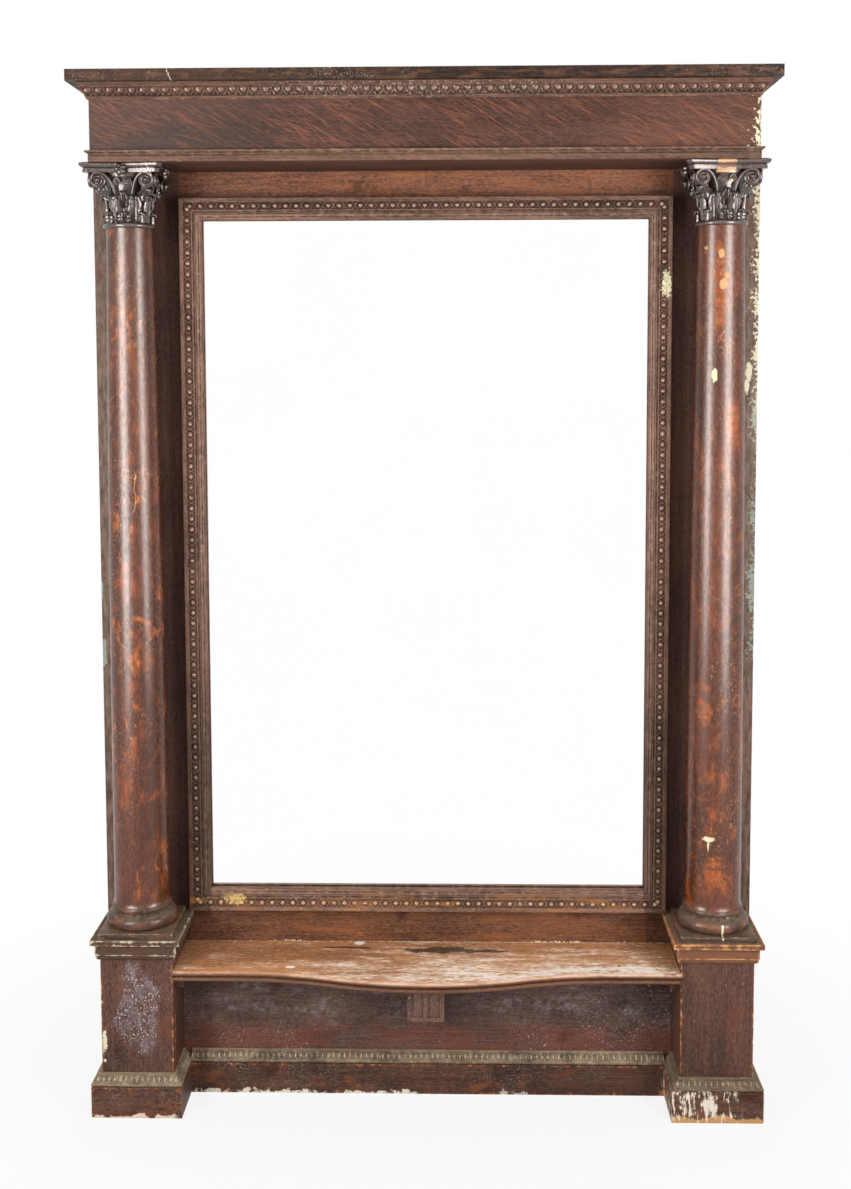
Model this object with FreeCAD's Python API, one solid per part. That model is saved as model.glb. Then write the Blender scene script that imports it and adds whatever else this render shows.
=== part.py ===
import FreeCAD, Part
import math
import os

# A tall oak pier mirror. A silvered plate sits in a carved frame between two columns on
# pedestals, with an entablature above and a bow-fronted shelf below.
# Millimetres, +Z up, the front faces -Y. The origin is under the middle of the whole piece,
# on the floor. A "projection" is a distance forward of the face of the back frame.

vector = FreeCAD.Vector

# Stock and fits
board_thickness = 22.0
back_frame_thickness = 30.0
plinth_thickness = 19.5
tenon_clearance = 0.2
dowel_clearance = 0.2
screw_clearance = 0.1
ornament_gap = 0.2
cut_overrun = 5.0
arris_radius = 1.2

# Mirror opening, plate and backing
sight_width = 957.0
slip_width = 12.5
slip_projection = 14.0
slip_overhang = 6.5
frame_lip = 6.0
plate_thickness = 6.0
plate_edge_gap = 2.0
plate_rebate = 10.0
packing_thickness = 2.0
packing_length = 60.0
packing_per_side = 3
backing_thickness = 12.0
backing_rebate = 30.0
backing_edge_gap = 2.0
backing_board_gap = 0.5
backing_board_count = 7

# Carved frame moulding
frame_moulding_width = 33.0
frame_moulding_projection = 27.0
frame_above_pedestal = 5.5
frame_below_soffit = 57.5

# Back frame rails
bottom_rail_height = 183.0
tenon_length = 60.0
tenon_thickness = 10.0
tenon_shoulder = 20.0
wall_hole_radius = 3.5
wall_hole_spacing = 812.8
wall_hole_below_top = 60.0

# Columns
column_from_frame = 89.5
abacus_to_back = 7.0
block_half_size = 79.0
block_height = 12.0
lower_torus_radius = 75.0
lower_torus_height = 27.0
scotia_radius = 57.5
scotia_height = 7.0
upper_torus_radius = 63.5
upper_torus_height = 13.0
shaft_length = 1431.5
shaft_bottom_radius = 58.3
shaft_middle_radius = 54.6
shaft_top_radius = 47.9
shaft_foot_flare = 2.5
shaft_foot_height = 12.0
necking_radius = 54.5
necking_height = 10.0
dowel_radius = 12.0
dowel_grip = 40.0

# Capitals
capital_height = 99.5
bell_radius = 43.0
bell_lip_radius = 60.0
bell_lip_rise = 5.0
leaf_thickness = 7.0
leaf_curl = 6.0
leaf_count = 8
volute_radius = 16.5
volute_thickness = 9.0
volute_from_axis = 52.0
volute_front_from_axis = 71.0
abacus_half_size = 85.0
abacus_height = 19.5
abacus_hollow = 10.0
abacus_horn_width = 13.0
abacus_step = 6.5
flower_radius = 14.0
flower_depth = 9.0
flower_gap = 0.4

# Pedestals
pedestal_height = 386.0
die_half_width = 76.8
die_front_from_axis = 70.0
cap_lip_height = 7.5
cap_lip_overhang = 18.0
cap_tongue_height = 14.5
cap_moulding_projection = 9.0
cap_moulding_height = 39.5
plinth_height = 70.5
base_moulding_height = 21.0
corner_block_size = 22.0
corner_block_length = 200.0
corner_block_height = 100.0

# Shelf and the boards under it
shelf_below_cap = 73.0
shelf_thickness = 23.0
shelf_end_projection = 163.0
shelf_centre_projection = 214.0
shelf_straight_length = 140.0
shelf_nosing_height = 10.5
shelf_groove_height = 3.5
shelf_groove_inset = 5.0
shelf_lower_inset = 2.5
apron_projection = 54.0
bracket_width = 78.0
bracket_height = 76.0
bracket_projection = 176.0
bracket_heel_drop = 60.0
bracket_panel_depth = 4.0
bracket_border = 9.0
bearer_size = 20.0

# Entablature
frieze_beyond_axis = 60.0
frieze_front_from_axis = 82.0
architrave_height = 22.0
architrave_projection = 9.0
frieze_height = 101.0
crown_height = 31.5
crown_projection = 19.0
cornice_thickness = 23.0
cornice_overhang = 38.0
panel_beyond_axis = 98.5
glue_block_size = 30.0
glue_block_length = 80.0
glue_block_count = 5

# Wood screws
screw_head_radius = 4.0
screw_head_height = 3.0
screw_shank_radius = 2.0
screw_length = 24.0
cornice_screw_length = 50.0
backing_screw_margin = 15.0

# Shares that give each outline its curve
frame_outline_shares = [
    (0.0, 0.0), (0.0, 1.0), (0.26, 1.0), (0.26, 0.93),
    ((0.53, 0.88), (0.71, 0.67)), (0.71, 0.6), (0.79, 0.6),
    ((0.83, 0.47), (1.0, 0.43)), (1.0, 0.0)]
slip_outline_shares = [(0.0, 0.0), (0.0, 1.0), (0.55, 1.0), (1.0, 0.62), (1.0, 0.0)]
cap_outline_shares = [
    (0.0, 0.0), (0.12, 0.0), ((0.5, 0.08), (0.62, 0.26)),
    (0.88, 0.26), (0.88, 0.34), (1.0, 0.34), (1.0, 1.0), (0.0, 1.0)]
base_outline_shares = [
    (0.0, 0.0), (1.0, 0.0), (1.0, 0.12),
    ((0.8, 0.56), (0.3, 0.86)), (0.3, 1.0), (0.0, 1.0)]
plinth_outline_shares = [(0.0, 0.0), (1.0, 0.0), (1.0, 0.95), ((0.96, 0.985), (0.85, 1.0)), (0.0, 1.0)]
crown_outline_shares = [
    (0.0, 0.0), (0.12, 0.0), (0.12, 0.08), (0.3, 0.08), (0.3, 0.17),
    ((0.72, 0.24), (0.9, 0.6)), (0.9, 0.7), (1.0, 0.7), (1.0, 1.0), (0.0, 1.0)]
architrave_outline_shares = [
    (0.0, 0.0), (0.12, 0.0), (0.12, 0.36), (0.3, 0.36), (0.3, 0.48),
    ((0.4, 0.7), (0.75, 0.8)), (1.0, 0.8), (1.0, 1.0), (0.0, 1.0)]
lower_leaf_shares = (0.0, 0.48)
upper_leaf_shares = (0.52, 0.8)
lower_leaf_half_angle = 18.0
upper_leaf_half_angle = 17.0
bell_straight_share = 0.5
bell_shoulder_share = 0.86
bell_shoulder_radius_share = 0.35
leaf_waist_share = 0.7
abacus_top_share = 0.38
abacus_cove_share = 0.26
shaft_middle_share = 0.6
torus_round_share = 0.85
volute_stalk_share = 0.6
flower_tip_share = 0.5
bracket_hollow_share = 0.2
cornice_screw_shares = (0.33, 1.0)

# Heights worked out from the pieces that stack up
cap_seat_z = pedestal_height - cap_lip_height
shelf_top_z = pedestal_height - shelf_below_cap
shelf_bottom_z = shelf_top_z - shelf_thickness
block_top_z = pedestal_height + block_height
shaft_bottom_z = block_top_z + lower_torus_height + scotia_height + upper_torus_height
shaft_top_z = shaft_bottom_z + shaft_length
capital_bottom_z = shaft_top_z + necking_height
abacus_bottom_z = capital_bottom_z + capital_height
soffit_z = abacus_bottom_z + abacus_height
frieze_bottom_z = soffit_z + architrave_height
crown_bottom_z = frieze_bottom_z + frieze_height
cornice_bottom_z = crown_bottom_z + crown_height
overall_height = cornice_bottom_z + cornice_thickness
frame_bottom_z = pedestal_height + frame_above_pedestal
frame_top_z = soffit_z - frame_below_soffit
frame_face_width = slip_width + frame_moulding_width
sight_bottom_z = frame_bottom_z + frame_face_width
sight_top_z = frame_top_z - frame_face_width

# Half widths and projections worked out the same way
sight_half = sight_width / 2
slip_half = sight_half + slip_width
frame_half = sight_half + frame_face_width
stile_inner_half = sight_half + slip_overhang
column_x = frame_half + column_from_frame
panel_half = column_x + panel_beyond_axis
frieze_half = column_x + frieze_beyond_axis
cornice_half = frieze_half + cornice_overhang
column_projection = abacus_half_size + abacus_to_back
die_projection = column_projection + die_front_from_axis
die_inner_x = column_x - die_half_width
frieze_projection = column_projection + frieze_front_from_axis
cornice_projection = frieze_projection + cornice_overhang
overall_depth = back_frame_thickness + max(cornice_projection, shelf_centre_projection)
wall_y = overall_depth / 2
face_y = wall_y - back_frame_thickness
opening_bottom_z = sight_bottom_z - slip_overhang
opening_top_z = sight_top_z + slip_overhang
plate_back = -frame_lip - plate_thickness
backing_front = plate_back - packing_thickness
backing_back = backing_front - backing_thickness
up = vector(0, 0, 1)
right = vector(1, 0, 0)
forward = vector(0, -1, 0)


# Shared shape helpers

def at(x, projection, z):
    """A point from its place across, its projection and its height."""
    return vector(x, face_y - projection, z)


def block(x_low, x_high, back, front, z_low, z_high):
    """A rectangular piece between two places across, two projections and two heights."""
    return Part.makeBox(x_high - x_low, front - back, z_high - z_low, at(x_low, front, z_low))


def outline_face(corners, place):
    """A face through (outward, upward) corners; a pair of corners is an arc's middle and end."""
    edges = []
    start = place(corners[0])
    for step in corners[1:] + corners[:1]:
        if isinstance(step[0], tuple):
            end = place(step[1])
            edges.append(Part.Arc(start, place(step[0]), end).toShape())
        else:
            end = place(step)
            edges.append(Part.LineSegment(start, end).toShape())
        start = end
    return Part.Face(Part.Wire(edges))


def straight_run(shares, width, height, start, along, outward, upward):
    """A length of moulding: its outline, scaled to width and height, carried along a vector."""
    def place(share):
        return start + outward * (share[0] * width) + upward * (share[1] * height)
    return outline_face(shares, place).extrude(along)


def prism(points, along):
    """A solid with a flat outline through the points, carried along a vector."""
    return Part.Face(Part.makePolygon(points + points[:1])).extrude(along)


def turned(profile, centre):
    """A solid of revolution about a vertical axis, from an outline of radius and height corners."""
    def place(corner):
        return centre + vector(corner[0], 0, corner[1])
    return outline_face(profile, place).revolve(centre, up, 360)


def upright_bore(x, projection, radius, z_low, z_high):
    """The cutter for a vertical hole that runs past both ends."""
    length = z_high - z_low + 2 * cut_overrun
    return Part.makeCylinder(radius, length, at(x, projection, z_low - cut_overrun), up)


def eased(solid, chosen):
    """The solid with small rounded arrises on the straight edges that the test chooses."""
    edges = [edge for edge in solid.Edges if chosen(edge.BoundBox)]
    return solid.makeFillet(arris_radius, edges)


def mirrored(solid):
    """The same piece on the left of the centre line."""
    return solid.mirror(vector(0, 0, 0), right)


def save(name, solids):
    """Writes a node, one solid or a group of separate solids, to its own file."""
    shape = solids[0] if len(solids) == 1 else Part.makeCompound(solids)
    shape.exportStep("parts/" + name + ".step")
    print(name, len(shape.Solids), "solids", round(shape.Volume), "mm3", shape.isValid())


def save_pair(name, solids):
    """Writes a right-hand node and its mirrored left-hand node."""
    save("right_" + name, solids)
    save("left_" + name, [mirrored(solid) for solid in solids])


def wood_screw(head_point, direction, length, clearance):
    """A countersunk screw, or with a clearance the hole that it needs, from its head inward."""
    head = Part.makeCone(
        screw_head_radius + clearance, screw_shank_radius + clearance,
        screw_head_height + clearance, head_point, direction)
    shank = Part.makeCylinder(screw_shank_radius + clearance, length + clearance, head_point, direction)
    return head.fuse(shank).removeSplitter()


# Back frame, mirror plate and backing

def plate_pocket():
    """The two-step rebate, open at the back, that holds the plate and the backing boards."""
    back = -back_frame_thickness - cut_overrun
    plate_half = stile_inner_half + plate_rebate
    board_half = stile_inner_half + backing_rebate
    plate_step = block(
        -plate_half, plate_half, back, -frame_lip,
        opening_bottom_z - plate_rebate, opening_top_z + plate_rebate)
    board_step = block(
        -board_half, board_half, back, backing_front,
        opening_bottom_z - backing_rebate, opening_top_z + backing_rebate)
    return plate_step.fuse(board_step)


def rail_tenon(rail_low, rail_high, low_shoulder, high_shoulder, clearance):
    """The right-hand tenon of a rail; with a clearance it is the mortise in the stile."""
    middle = -back_frame_thickness / 2
    half = tenon_thickness / 2 + clearance
    return block(
        stile_inner_half, stile_inner_half + tenon_length + clearance, middle - half, middle + half,
        rail_low + low_shoulder - clearance, rail_high - high_shoulder + clearance)


def backing_screw_places():
    """Head centres of the backing screws, two at each end of each board."""
    board_half = stile_inner_half + backing_rebate - backing_edge_gap
    pitch = 2 * board_half / backing_board_count
    low = opening_bottom_z - backing_rebate + backing_screw_margin
    high = opening_top_z + backing_rebate - backing_screw_margin
    places = []
    for index in range(backing_board_count):
        middle = -board_half + (index + 0.5) * pitch
        for side in (-1, 1):
            for height in (low, high):
                places.append(at(middle + side * (pitch / 2 - backing_screw_margin), backing_back, height))
    return places


def cornice_screw_places():
    """Head centres of the screws that hold the cornice board to the stiles and the frieze board."""
    frieze_middle = frieze_projection - board_thickness / 2
    places = []
    for side in (-1, 1):
        for x in (stile_inner_half + tenon_length + board_thickness, column_x):
            places.append(at(side * x, -back_frame_thickness / 2, overall_height))
        for share in cornice_screw_shares:
            places.append(at(side * share * sight_half, frieze_middle, overall_height))
    return places


def holes(places, direction, length):
    """The cutters for a set of screws."""
    return [wood_screw(place, direction, length, screw_clearance) for place in places]


def make_back_frame():
    """Two stiles, two rails tenoned into them, the plate, its packing and the backing boards."""
    pocket = plate_pocket()
    bottom_rail_z = opening_bottom_z - bottom_rail_height
    bottom_tenon = (bottom_rail_z, opening_bottom_z, tenon_shoulder, backing_rebate + cut_overrun)
    top_tenon = (opening_top_z, cornice_bottom_z, backing_rebate + cut_overrun, tenon_shoulder)
    backing_holes = holes(backing_screw_places(), forward, screw_length)
    cornice_holes = holes(cornice_screw_places(), -up, cornice_screw_length)

    stile = block(stile_inner_half, panel_half, -back_frame_thickness, 0, 0, cornice_bottom_z)
    stile = stile.cut(pocket.fuse([
        rail_tenon(*bottom_tenon, tenon_clearance), rail_tenon(*top_tenon, tenon_clearance)]))
    stile = stile.cut(cornice_holes).cut(backing_holes)
    save_pair("stile", [stile])

    def rail(low, high, tenon):
        body = block(-stile_inner_half, stile_inner_half, -back_frame_thickness, 0, low, high)
        right_tenon = rail_tenon(*tenon, 0)
        return body.fuse([right_tenon, mirrored(right_tenon)]).cut(pocket).cut(backing_holes)

    save("bottom_rail", [rail(bottom_rail_z, opening_bottom_z, bottom_tenon)])
    top_rail = rail(opening_top_z, cornice_bottom_z, top_tenon)
    hole_length = back_frame_thickness + 2 * cut_overrun
    for side in (-1, 1):
        hole_start = at(side * wall_hole_spacing / 2, cut_overrun, cornice_bottom_z - wall_hole_below_top)
        top_rail = top_rail.cut(Part.makeCylinder(wall_hole_radius, hole_length, hole_start, -forward))
    save("top_rail", [top_rail])

    plate_half = stile_inner_half + plate_rebate - plate_edge_gap
    plate_low = opening_bottom_z - plate_rebate + plate_edge_gap
    plate_high = opening_top_z + plate_rebate - plate_edge_gap
    save("mirror_plate", [block(-plate_half, plate_half, plate_back, -frame_lip, plate_low, plate_high)])

    packing = []
    strip = plate_rebate - plate_edge_gap
    for index in range(packing_per_side):
        share = (index + 0.5) / packing_per_side
        x = -stile_inner_half + share * 2 * stile_inner_half - packing_length / 2
        z = opening_bottom_z + share * (opening_top_z - opening_bottom_z) - packing_length / 2
        for low in (plate_low, plate_high - strip):
            packing.append(block(x, x + packing_length, backing_front, plate_back, low, low + strip))
        for low in (-plate_half, plate_half - strip):
            packing.append(block(low, low + strip, backing_front, plate_back, z, z + packing_length))
    save("mirror_packing_blocks", packing)

    board_half = stile_inner_half + backing_rebate - backing_edge_gap
    board_low = opening_bottom_z - backing_rebate + backing_edge_gap
    board_high = opening_top_z + backing_rebate - backing_edge_gap
    pitch = 2 * board_half / backing_board_count
    boards = []
    for index in range(backing_board_count):
        low = -board_half + index * pitch + backing_board_gap / 2
        board = block(
            low, low + pitch - backing_board_gap, backing_back, backing_front, board_low, board_high)
        boards.append(board.cut(backing_holes))
    save("backing_boards", boards)
    save("backing_screws", [
        wood_screw(place, forward, screw_length, 0) for place in backing_screw_places()])


# Carved frame moulding and sight slips

def mitred_frame(shares, width, projection, outer_half, low, high):
    """Four mitred lengths of moulding round an opening, keyed by side; the outline starts outside."""
    inner_half = outer_half - width
    reach = projection + cut_overrun
    outer = {"left_low": at(-outer_half, 0, low), "right_low": at(outer_half, 0, low),
             "left_high": at(-outer_half, 0, high), "right_high": at(outer_half, 0, high)}
    inner = {"left_low": at(-inner_half, 0, low + width), "right_low": at(inner_half, 0, low + width),
             "left_high": at(-inner_half, 0, high - width), "right_high": at(inner_half, 0, high - width)}
    sides = {"top": ("left_high", "right_high", -up), "bottom": ("left_low", "right_low", up),
             "left": ("left_low", "left_high", right), "right": ("right_low", "right_high", -right)}
    lengths = {}
    for name, (first, last, inward) in sides.items():
        run = straight_run(
            shares, width, projection, outer[first], outer[last] - outer[first], inward, forward)
        mitre = prism([outer[first], outer[last], inner[last], inner[first]], forward * reach)
        lengths[name] = run.common(mitre).Solids[0]
    return lengths


def make_mirror_frame():
    """The carved moulding, one node to a side, and the plain slips at the sight edge."""
    moulding = mitred_frame(
        frame_outline_shares, frame_moulding_width, frame_moulding_projection,
        frame_half, frame_bottom_z, frame_top_z)
    for side, length in moulding.items():
        save("frame_moulding_" + side, [length])
    slips = mitred_frame(
        slip_outline_shares, slip_width, slip_projection, slip_half,
        frame_bottom_z + frame_moulding_width, frame_top_z - frame_moulding_width)
    save("sight_slips", list(slips.values()))


# Columns

def make_column():
    """Block, turned base, tapered shaft, necking ring and the dowels that pin them."""
    low_bore = upright_bore(
        column_x, column_projection, dowel_radius + dowel_clearance,
        pedestal_height, shaft_bottom_z + dowel_grip - cut_overrun)
    high_bore = upright_bore(
        column_x, column_projection, dowel_radius + dowel_clearance,
        shaft_top_z - dowel_grip + cut_overrun, soffit_z)

    slab = block(
        column_x - block_half_size, column_x + block_half_size,
        column_projection - block_half_size, column_projection + block_half_size,
        pedestal_height, block_top_z)
    top_edges = eased(slab, lambda box: box.ZMin > pedestal_height)
    save_pair("base_block", [top_edges.cut(low_bore)])

    def half_round(radius, height, low):
        edge = radius - torus_round_share * height / 2
        return [(edge, low), ((radius, low + height / 2), (edge, low + height))]

    neck_top = lower_torus_height + scotia_height
    base_profile = half_round(lower_torus_radius, lower_torus_height, 0)
    base_profile += [(scotia_radius, lower_torus_height), (scotia_radius, neck_top)]
    base_profile += half_round(upper_torus_radius, upper_torus_height, neck_top)
    base_profile += [(0, neck_top + upper_torus_height), (0, 0)]
    base = turned(base_profile, at(column_x, column_projection, block_top_z))
    save_pair("column_base", [base.cut(low_bore)])

    waist_height = shaft_middle_share * shaft_length
    shaft_profile = [
        (0, 0), (shaft_bottom_radius + shaft_foot_flare, 0), (shaft_bottom_radius, shaft_foot_height),
        ((shaft_middle_radius, waist_height), (shaft_top_radius, shaft_length)), (0, shaft_length)]
    shaft = turned(shaft_profile, at(column_x, column_projection, shaft_bottom_z))
    save_pair("column_shaft", [shaft.cut([low_bore, high_bore])])
    ring_profile = half_round(necking_radius, necking_height, 0) + [(0, necking_height), (0, 0)]
    ring = turned(ring_profile, at(column_x, column_projection, shaft_top_z))
    save_pair("necking_ring", [ring.cut(high_bore)])

    low_start = pedestal_height - cap_lip_height - cap_tongue_height
    low_dowel = Part.makeCylinder(
        dowel_radius, shaft_bottom_z + dowel_grip - low_start, at(column_x, column_projection, low_start), up)
    high_start = shaft_top_z - dowel_grip
    high_dowel = Part.makeCylinder(
        dowel_radius, soffit_z + board_thickness - high_start,
        at(column_x, column_projection, high_start), up)
    dowels = [low_dowel, high_dowel]
    save("column_dowels", dowels + [mirrored(dowel) for dowel in dowels])
    return high_bore


# Capitals

def bell_radius_at(share):
    """The bell's radius at a share of its height: straight, then a flare to the lip."""
    if share <= bell_straight_share:
        return bell_radius
    flare = bell_lip_radius - bell_radius
    rise = min(1.0, (share - bell_straight_share) / (bell_shoulder_share - bell_straight_share))
    return bell_radius + bell_shoulder_radius_share * flare * rise


def leaf(share_span, half_angle, turn):
    """One leaf: a plate up the bell whose tip curls outward, wrapped round part of a turn."""
    low, high = share_span
    waist = low + leaf_waist_share * (high - low)
    axis = at(column_x, column_projection, capital_bottom_z)
    profile = [
        (bell_radius_at(low) + ornament_gap, low),
        (bell_radius_at(low) + leaf_thickness, low),
        (bell_radius_at(waist) + leaf_thickness, waist),
        (bell_radius_at(waist) + leaf_thickness + leaf_curl, waist),
        (bell_radius_at(high) + leaf_thickness + leaf_curl, high),
        (bell_radius_at(high) + ornament_gap, high)]
    if low < bell_straight_share < high:
        profile.append((bell_radius + ornament_gap, bell_straight_share))
    points = [axis + vector(radius, 0, share * capital_height) for radius, share in profile]
    face = Part.Face(Part.makePolygon(points + points[:1]))
    face.rotate(axis, up, turn - half_angle)
    return face.revolve(axis, up, 2 * half_angle)


def corner_volute(turn):
    """Two scrolls that meet under a horn of the abacus, with the stalk that joins them to the bell."""
    axis = at(column_x, column_projection, abacus_bottom_z - volute_radius)
    back = volute_front_from_axis - volute_thickness
    front_scroll = Part.makeCylinder(
        volute_radius, volute_thickness, axis + vector(volute_from_axis, -back, 0), forward)
    side_scroll = Part.makeCylinder(
        volute_radius, volute_thickness, axis + vector(back, -volute_from_axis, 0), right)
    half_stalk = volute_stalk_share * volute_radius
    stalk_start = bell_lip_radius + ornament_gap
    stalk_length = math.hypot(volute_from_axis, back) - stalk_start
    stalk = Part.makeBox(
        stalk_length, 2 * half_stalk, 2 * half_stalk,
        axis + vector(stalk_start, -half_stalk, -half_stalk))
    stalk.rotate(axis, up, -45)
    scroll = front_scroll.fuse([side_scroll, stalk]).removeSplitter()
    scroll.rotate(axis, up, turn)
    return scroll


def abacus_plan(half_size, z):
    """A square with hollowed sides and cut corners, as a wire."""
    centre = at(column_x, column_projection, z)
    horn = abacus_horn_width / math.sqrt(2)
    edges = []
    for quarter in range(4):
        turn = FreeCAD.Rotation(up, 90 * quarter)
        start = centre + turn.multVec(vector(half_size - horn, -half_size, 0))
        corner = centre + turn.multVec(vector(half_size, horn - half_size, 0))
        middle = centre + turn.multVec(vector(half_size - abacus_hollow, 0, 0))
        end = centre + turn.multVec(vector(half_size, half_size - horn, 0))
        edges.append(Part.LineSegment(start, corner).toShape())
        edges.append(Part.Arc(corner, middle, end).toShape())
    return Part.Wire(edges)


def make_capital(high_bore):
    """The bell core and the ornament planted on it: leaves, volutes, abacus and flowers."""
    shoulder = bell_shoulder_share * capital_height
    profile = [
        (0, 0), (bell_radius, 0), (bell_radius, bell_straight_share * capital_height),
        (bell_radius_at(1.0), shoulder), (bell_lip_radius, shoulder + bell_lip_rise),
        (bell_lip_radius, capital_height), (0, capital_height)]
    bell = turned(profile, at(column_x, column_projection, capital_bottom_z))
    save_pair("capital_bell", [bell.cut(high_bore)])

    step = 360 / leaf_count
    leaves = [leaf(lower_leaf_shares, lower_leaf_half_angle, index * step) for index in range(leaf_count)]
    leaves += [
        leaf(upper_leaf_shares, upper_leaf_half_angle, (index + 0.5) * step) for index in range(leaf_count)]
    save_pair("capital_leaves", leaves)
    save_pair("capital_volutes", [corner_volute(90 * quarter) for quarter in range(4)])

    top_height = abacus_top_share * abacus_height
    cove_height = abacus_cove_share * abacus_height
    low_height = abacus_height - top_height - cove_height
    narrow = abacus_half_size - abacus_step
    cove_z = abacus_bottom_z + low_height
    low = Part.Face(abacus_plan(narrow, abacus_bottom_z)).extrude(up * low_height)
    cove = Part.makeLoft(
        [abacus_plan(narrow, cove_z), abacus_plan(abacus_half_size, cove_z + cove_height)], True, True)
    top = Part.Face(abacus_plan(abacus_half_size, soffit_z - top_height)).extrude(up * top_height)
    save_pair("abacus", [low.fuse([cove, top]).removeSplitter().cut(high_bore)])

    flower_back = abacus_half_size - abacus_hollow + flower_gap
    flower_axis = at(column_x, column_projection, soffit_z - flower_radius)

    def flower(turn):
        boss = Part.makeCone(
            flower_radius, flower_tip_share * flower_radius, flower_depth,
            flower_axis + forward * flower_back, forward)
        boss.rotate(flower_axis, up, turn)
        return boss

    side_flowers = [flower(90), flower(-90)]
    left_flowers = [mirrored(boss) for boss in side_flowers + [flower(0)]]
    save("abacus_flowers", side_flowers + left_flowers)


# Pedestals

def wrapped_moulding(shares, projection, height, z, back_inner):
    """Three mitred lengths round a pedestal: the front, the outer side and the inner side."""
    low_x = die_inner_x
    high_x = column_x + die_half_width
    plan_front = die_projection + projection
    front_plan = [
        at(low_x, die_projection, z), at(high_x, die_projection, z),
        at(high_x + projection, plan_front, z), at(low_x - projection, plan_front, z)]
    outer_plan = [
        at(high_x, 0, z), at(high_x, die_projection, z),
        at(high_x + projection, plan_front, z), at(high_x + projection, 0, z)]
    inner_plan = [
        at(low_x, back_inner, z), at(low_x, die_projection, z),
        at(low_x - projection, plan_front, z), at(low_x - projection, back_inner, z)]
    across = right * (high_x - low_x + 2 * projection)
    front = straight_run(
        shares, projection, height, at(low_x - projection, die_projection, z), across, forward, up)
    outer = straight_run(shares, projection, height, at(high_x, 0, z), forward * plan_front, right, up)
    inner = straight_run(
        shares, projection, height, at(low_x, back_inner, z), forward * (plan_front - back_inner), -right, up)
    runs = []
    for run, plan in ((front, front_plan), (outer, outer_plan), (inner, inner_plan)):
        runs.append(run.common(prism(plan, up * height)).Solids[0])
    return runs


def make_pedestal():
    """A three-sided box with its plinth, carved base moulding, cap moulding and rebated cap."""
    low_x = die_inner_x
    high_x = column_x + die_half_width
    side_front = die_projection - board_thickness
    front = block(low_x, high_x, side_front, die_projection, 0, cap_seat_z)
    save_pair("pedestal_front", [eased(
        front, lambda box: box.ZLength > board_thickness and box.YMax < face_y - side_front)])
    save_pair("pedestal_outer_side", [block(high_x - board_thickness, high_x, 0, side_front, 0, cap_seat_z)])
    save_pair("pedestal_inner_side", [block(low_x, low_x + board_thickness, 0, side_front, 0, cap_seat_z)])

    save_pair("pedestal_plinth", wrapped_moulding(
        plinth_outline_shares, plinth_thickness, plinth_height, 0, apron_projection))
    save_pair("pedestal_moulding", wrapped_moulding(
        base_outline_shares, plinth_thickness, base_moulding_height, plinth_height, apron_projection))
    save_pair("cap_moulding", wrapped_moulding(
        cap_outline_shares, cap_moulding_projection, cap_moulding_height,
        cap_seat_z - cap_moulding_height, 0))

    lip = block(
        low_x - cap_lip_overhang, high_x + cap_lip_overhang, 0, die_projection + cap_lip_overhang,
        cap_seat_z, pedestal_height)
    lip = eased(lip, lambda box: box.YMin < face_y - cap_lip_overhang and box.ZLength < arris_radius)
    tongue = block(
        low_x + board_thickness + tenon_clearance, high_x - board_thickness - tenon_clearance,
        0, side_front - tenon_clearance, cap_seat_z - cap_tongue_height, cap_seat_z)
    bore = upright_bore(
        column_x, column_projection, dowel_radius + dowel_clearance,
        cap_seat_z - cap_tongue_height, pedestal_height)
    save_pair("pedestal_cap", [lip.fuse(tongue).removeSplitter().cut(bore)])

    corner_top = corner_block_height + corner_block_length
    blocks = []
    for inner_face in (low_x + board_thickness, high_x - board_thickness - corner_block_size):
        blocks.append(block(
            inner_face, inner_face + corner_block_size, side_front - corner_block_size, side_front,
            corner_block_height, corner_top))
    save("pedestal_corner_blocks", blocks + [mirrored(piece) for piece in blocks])


# Shelf and the boards under it

def shelf_slab(inset, z, height):
    """A slab with a serpentine front: straight ends, then two tangent arcs to a bow in the middle."""
    end_front = shelf_end_projection - inset
    swing = shelf_centre_projection - shelf_end_projection
    span = die_inner_x - shelf_straight_length
    radius = (span ** 2 + swing ** 2) / (4 * swing)
    hollow_radius = radius + inset
    bow_radius = radius - inset
    angle = math.asin(span / (2 * radius))
    meet_x = span - hollow_radius * math.sin(angle)
    meet_front = end_front + hollow_radius * (1 - math.cos(angle))
    half_x = span - hollow_radius * math.sin(angle / 2)
    half_front = end_front + hollow_radius * (1 - math.cos(angle / 2))
    middle = at(0, meet_front + bow_radius * (1 - math.cos(angle)), z)
    corners = [
        at(-die_inner_x, end_front, z), at(-die_inner_x, 0, z), at(die_inner_x, 0, z),
        at(die_inner_x, end_front, z), at(span, end_front, z)]
    edges = [Part.LineSegment(a, b).toShape() for a, b in zip(corners, corners[1:])]
    edges.append(Part.Arc(corners[-1], at(half_x, half_front, z), at(meet_x, meet_front, z)).toShape())
    edges.append(Part.Arc(at(meet_x, meet_front, z), middle, at(-meet_x, meet_front, z)).toShape())
    edges.append(Part.Arc(
        at(-meet_x, meet_front, z), at(-half_x, half_front, z), at(-span, end_front, z)).toShape())
    edges.append(Part.LineSegment(at(-span, end_front, z), corners[0]).toShape())
    return Part.Face(Part.Wire(edges)).extrude(up * height)


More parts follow.
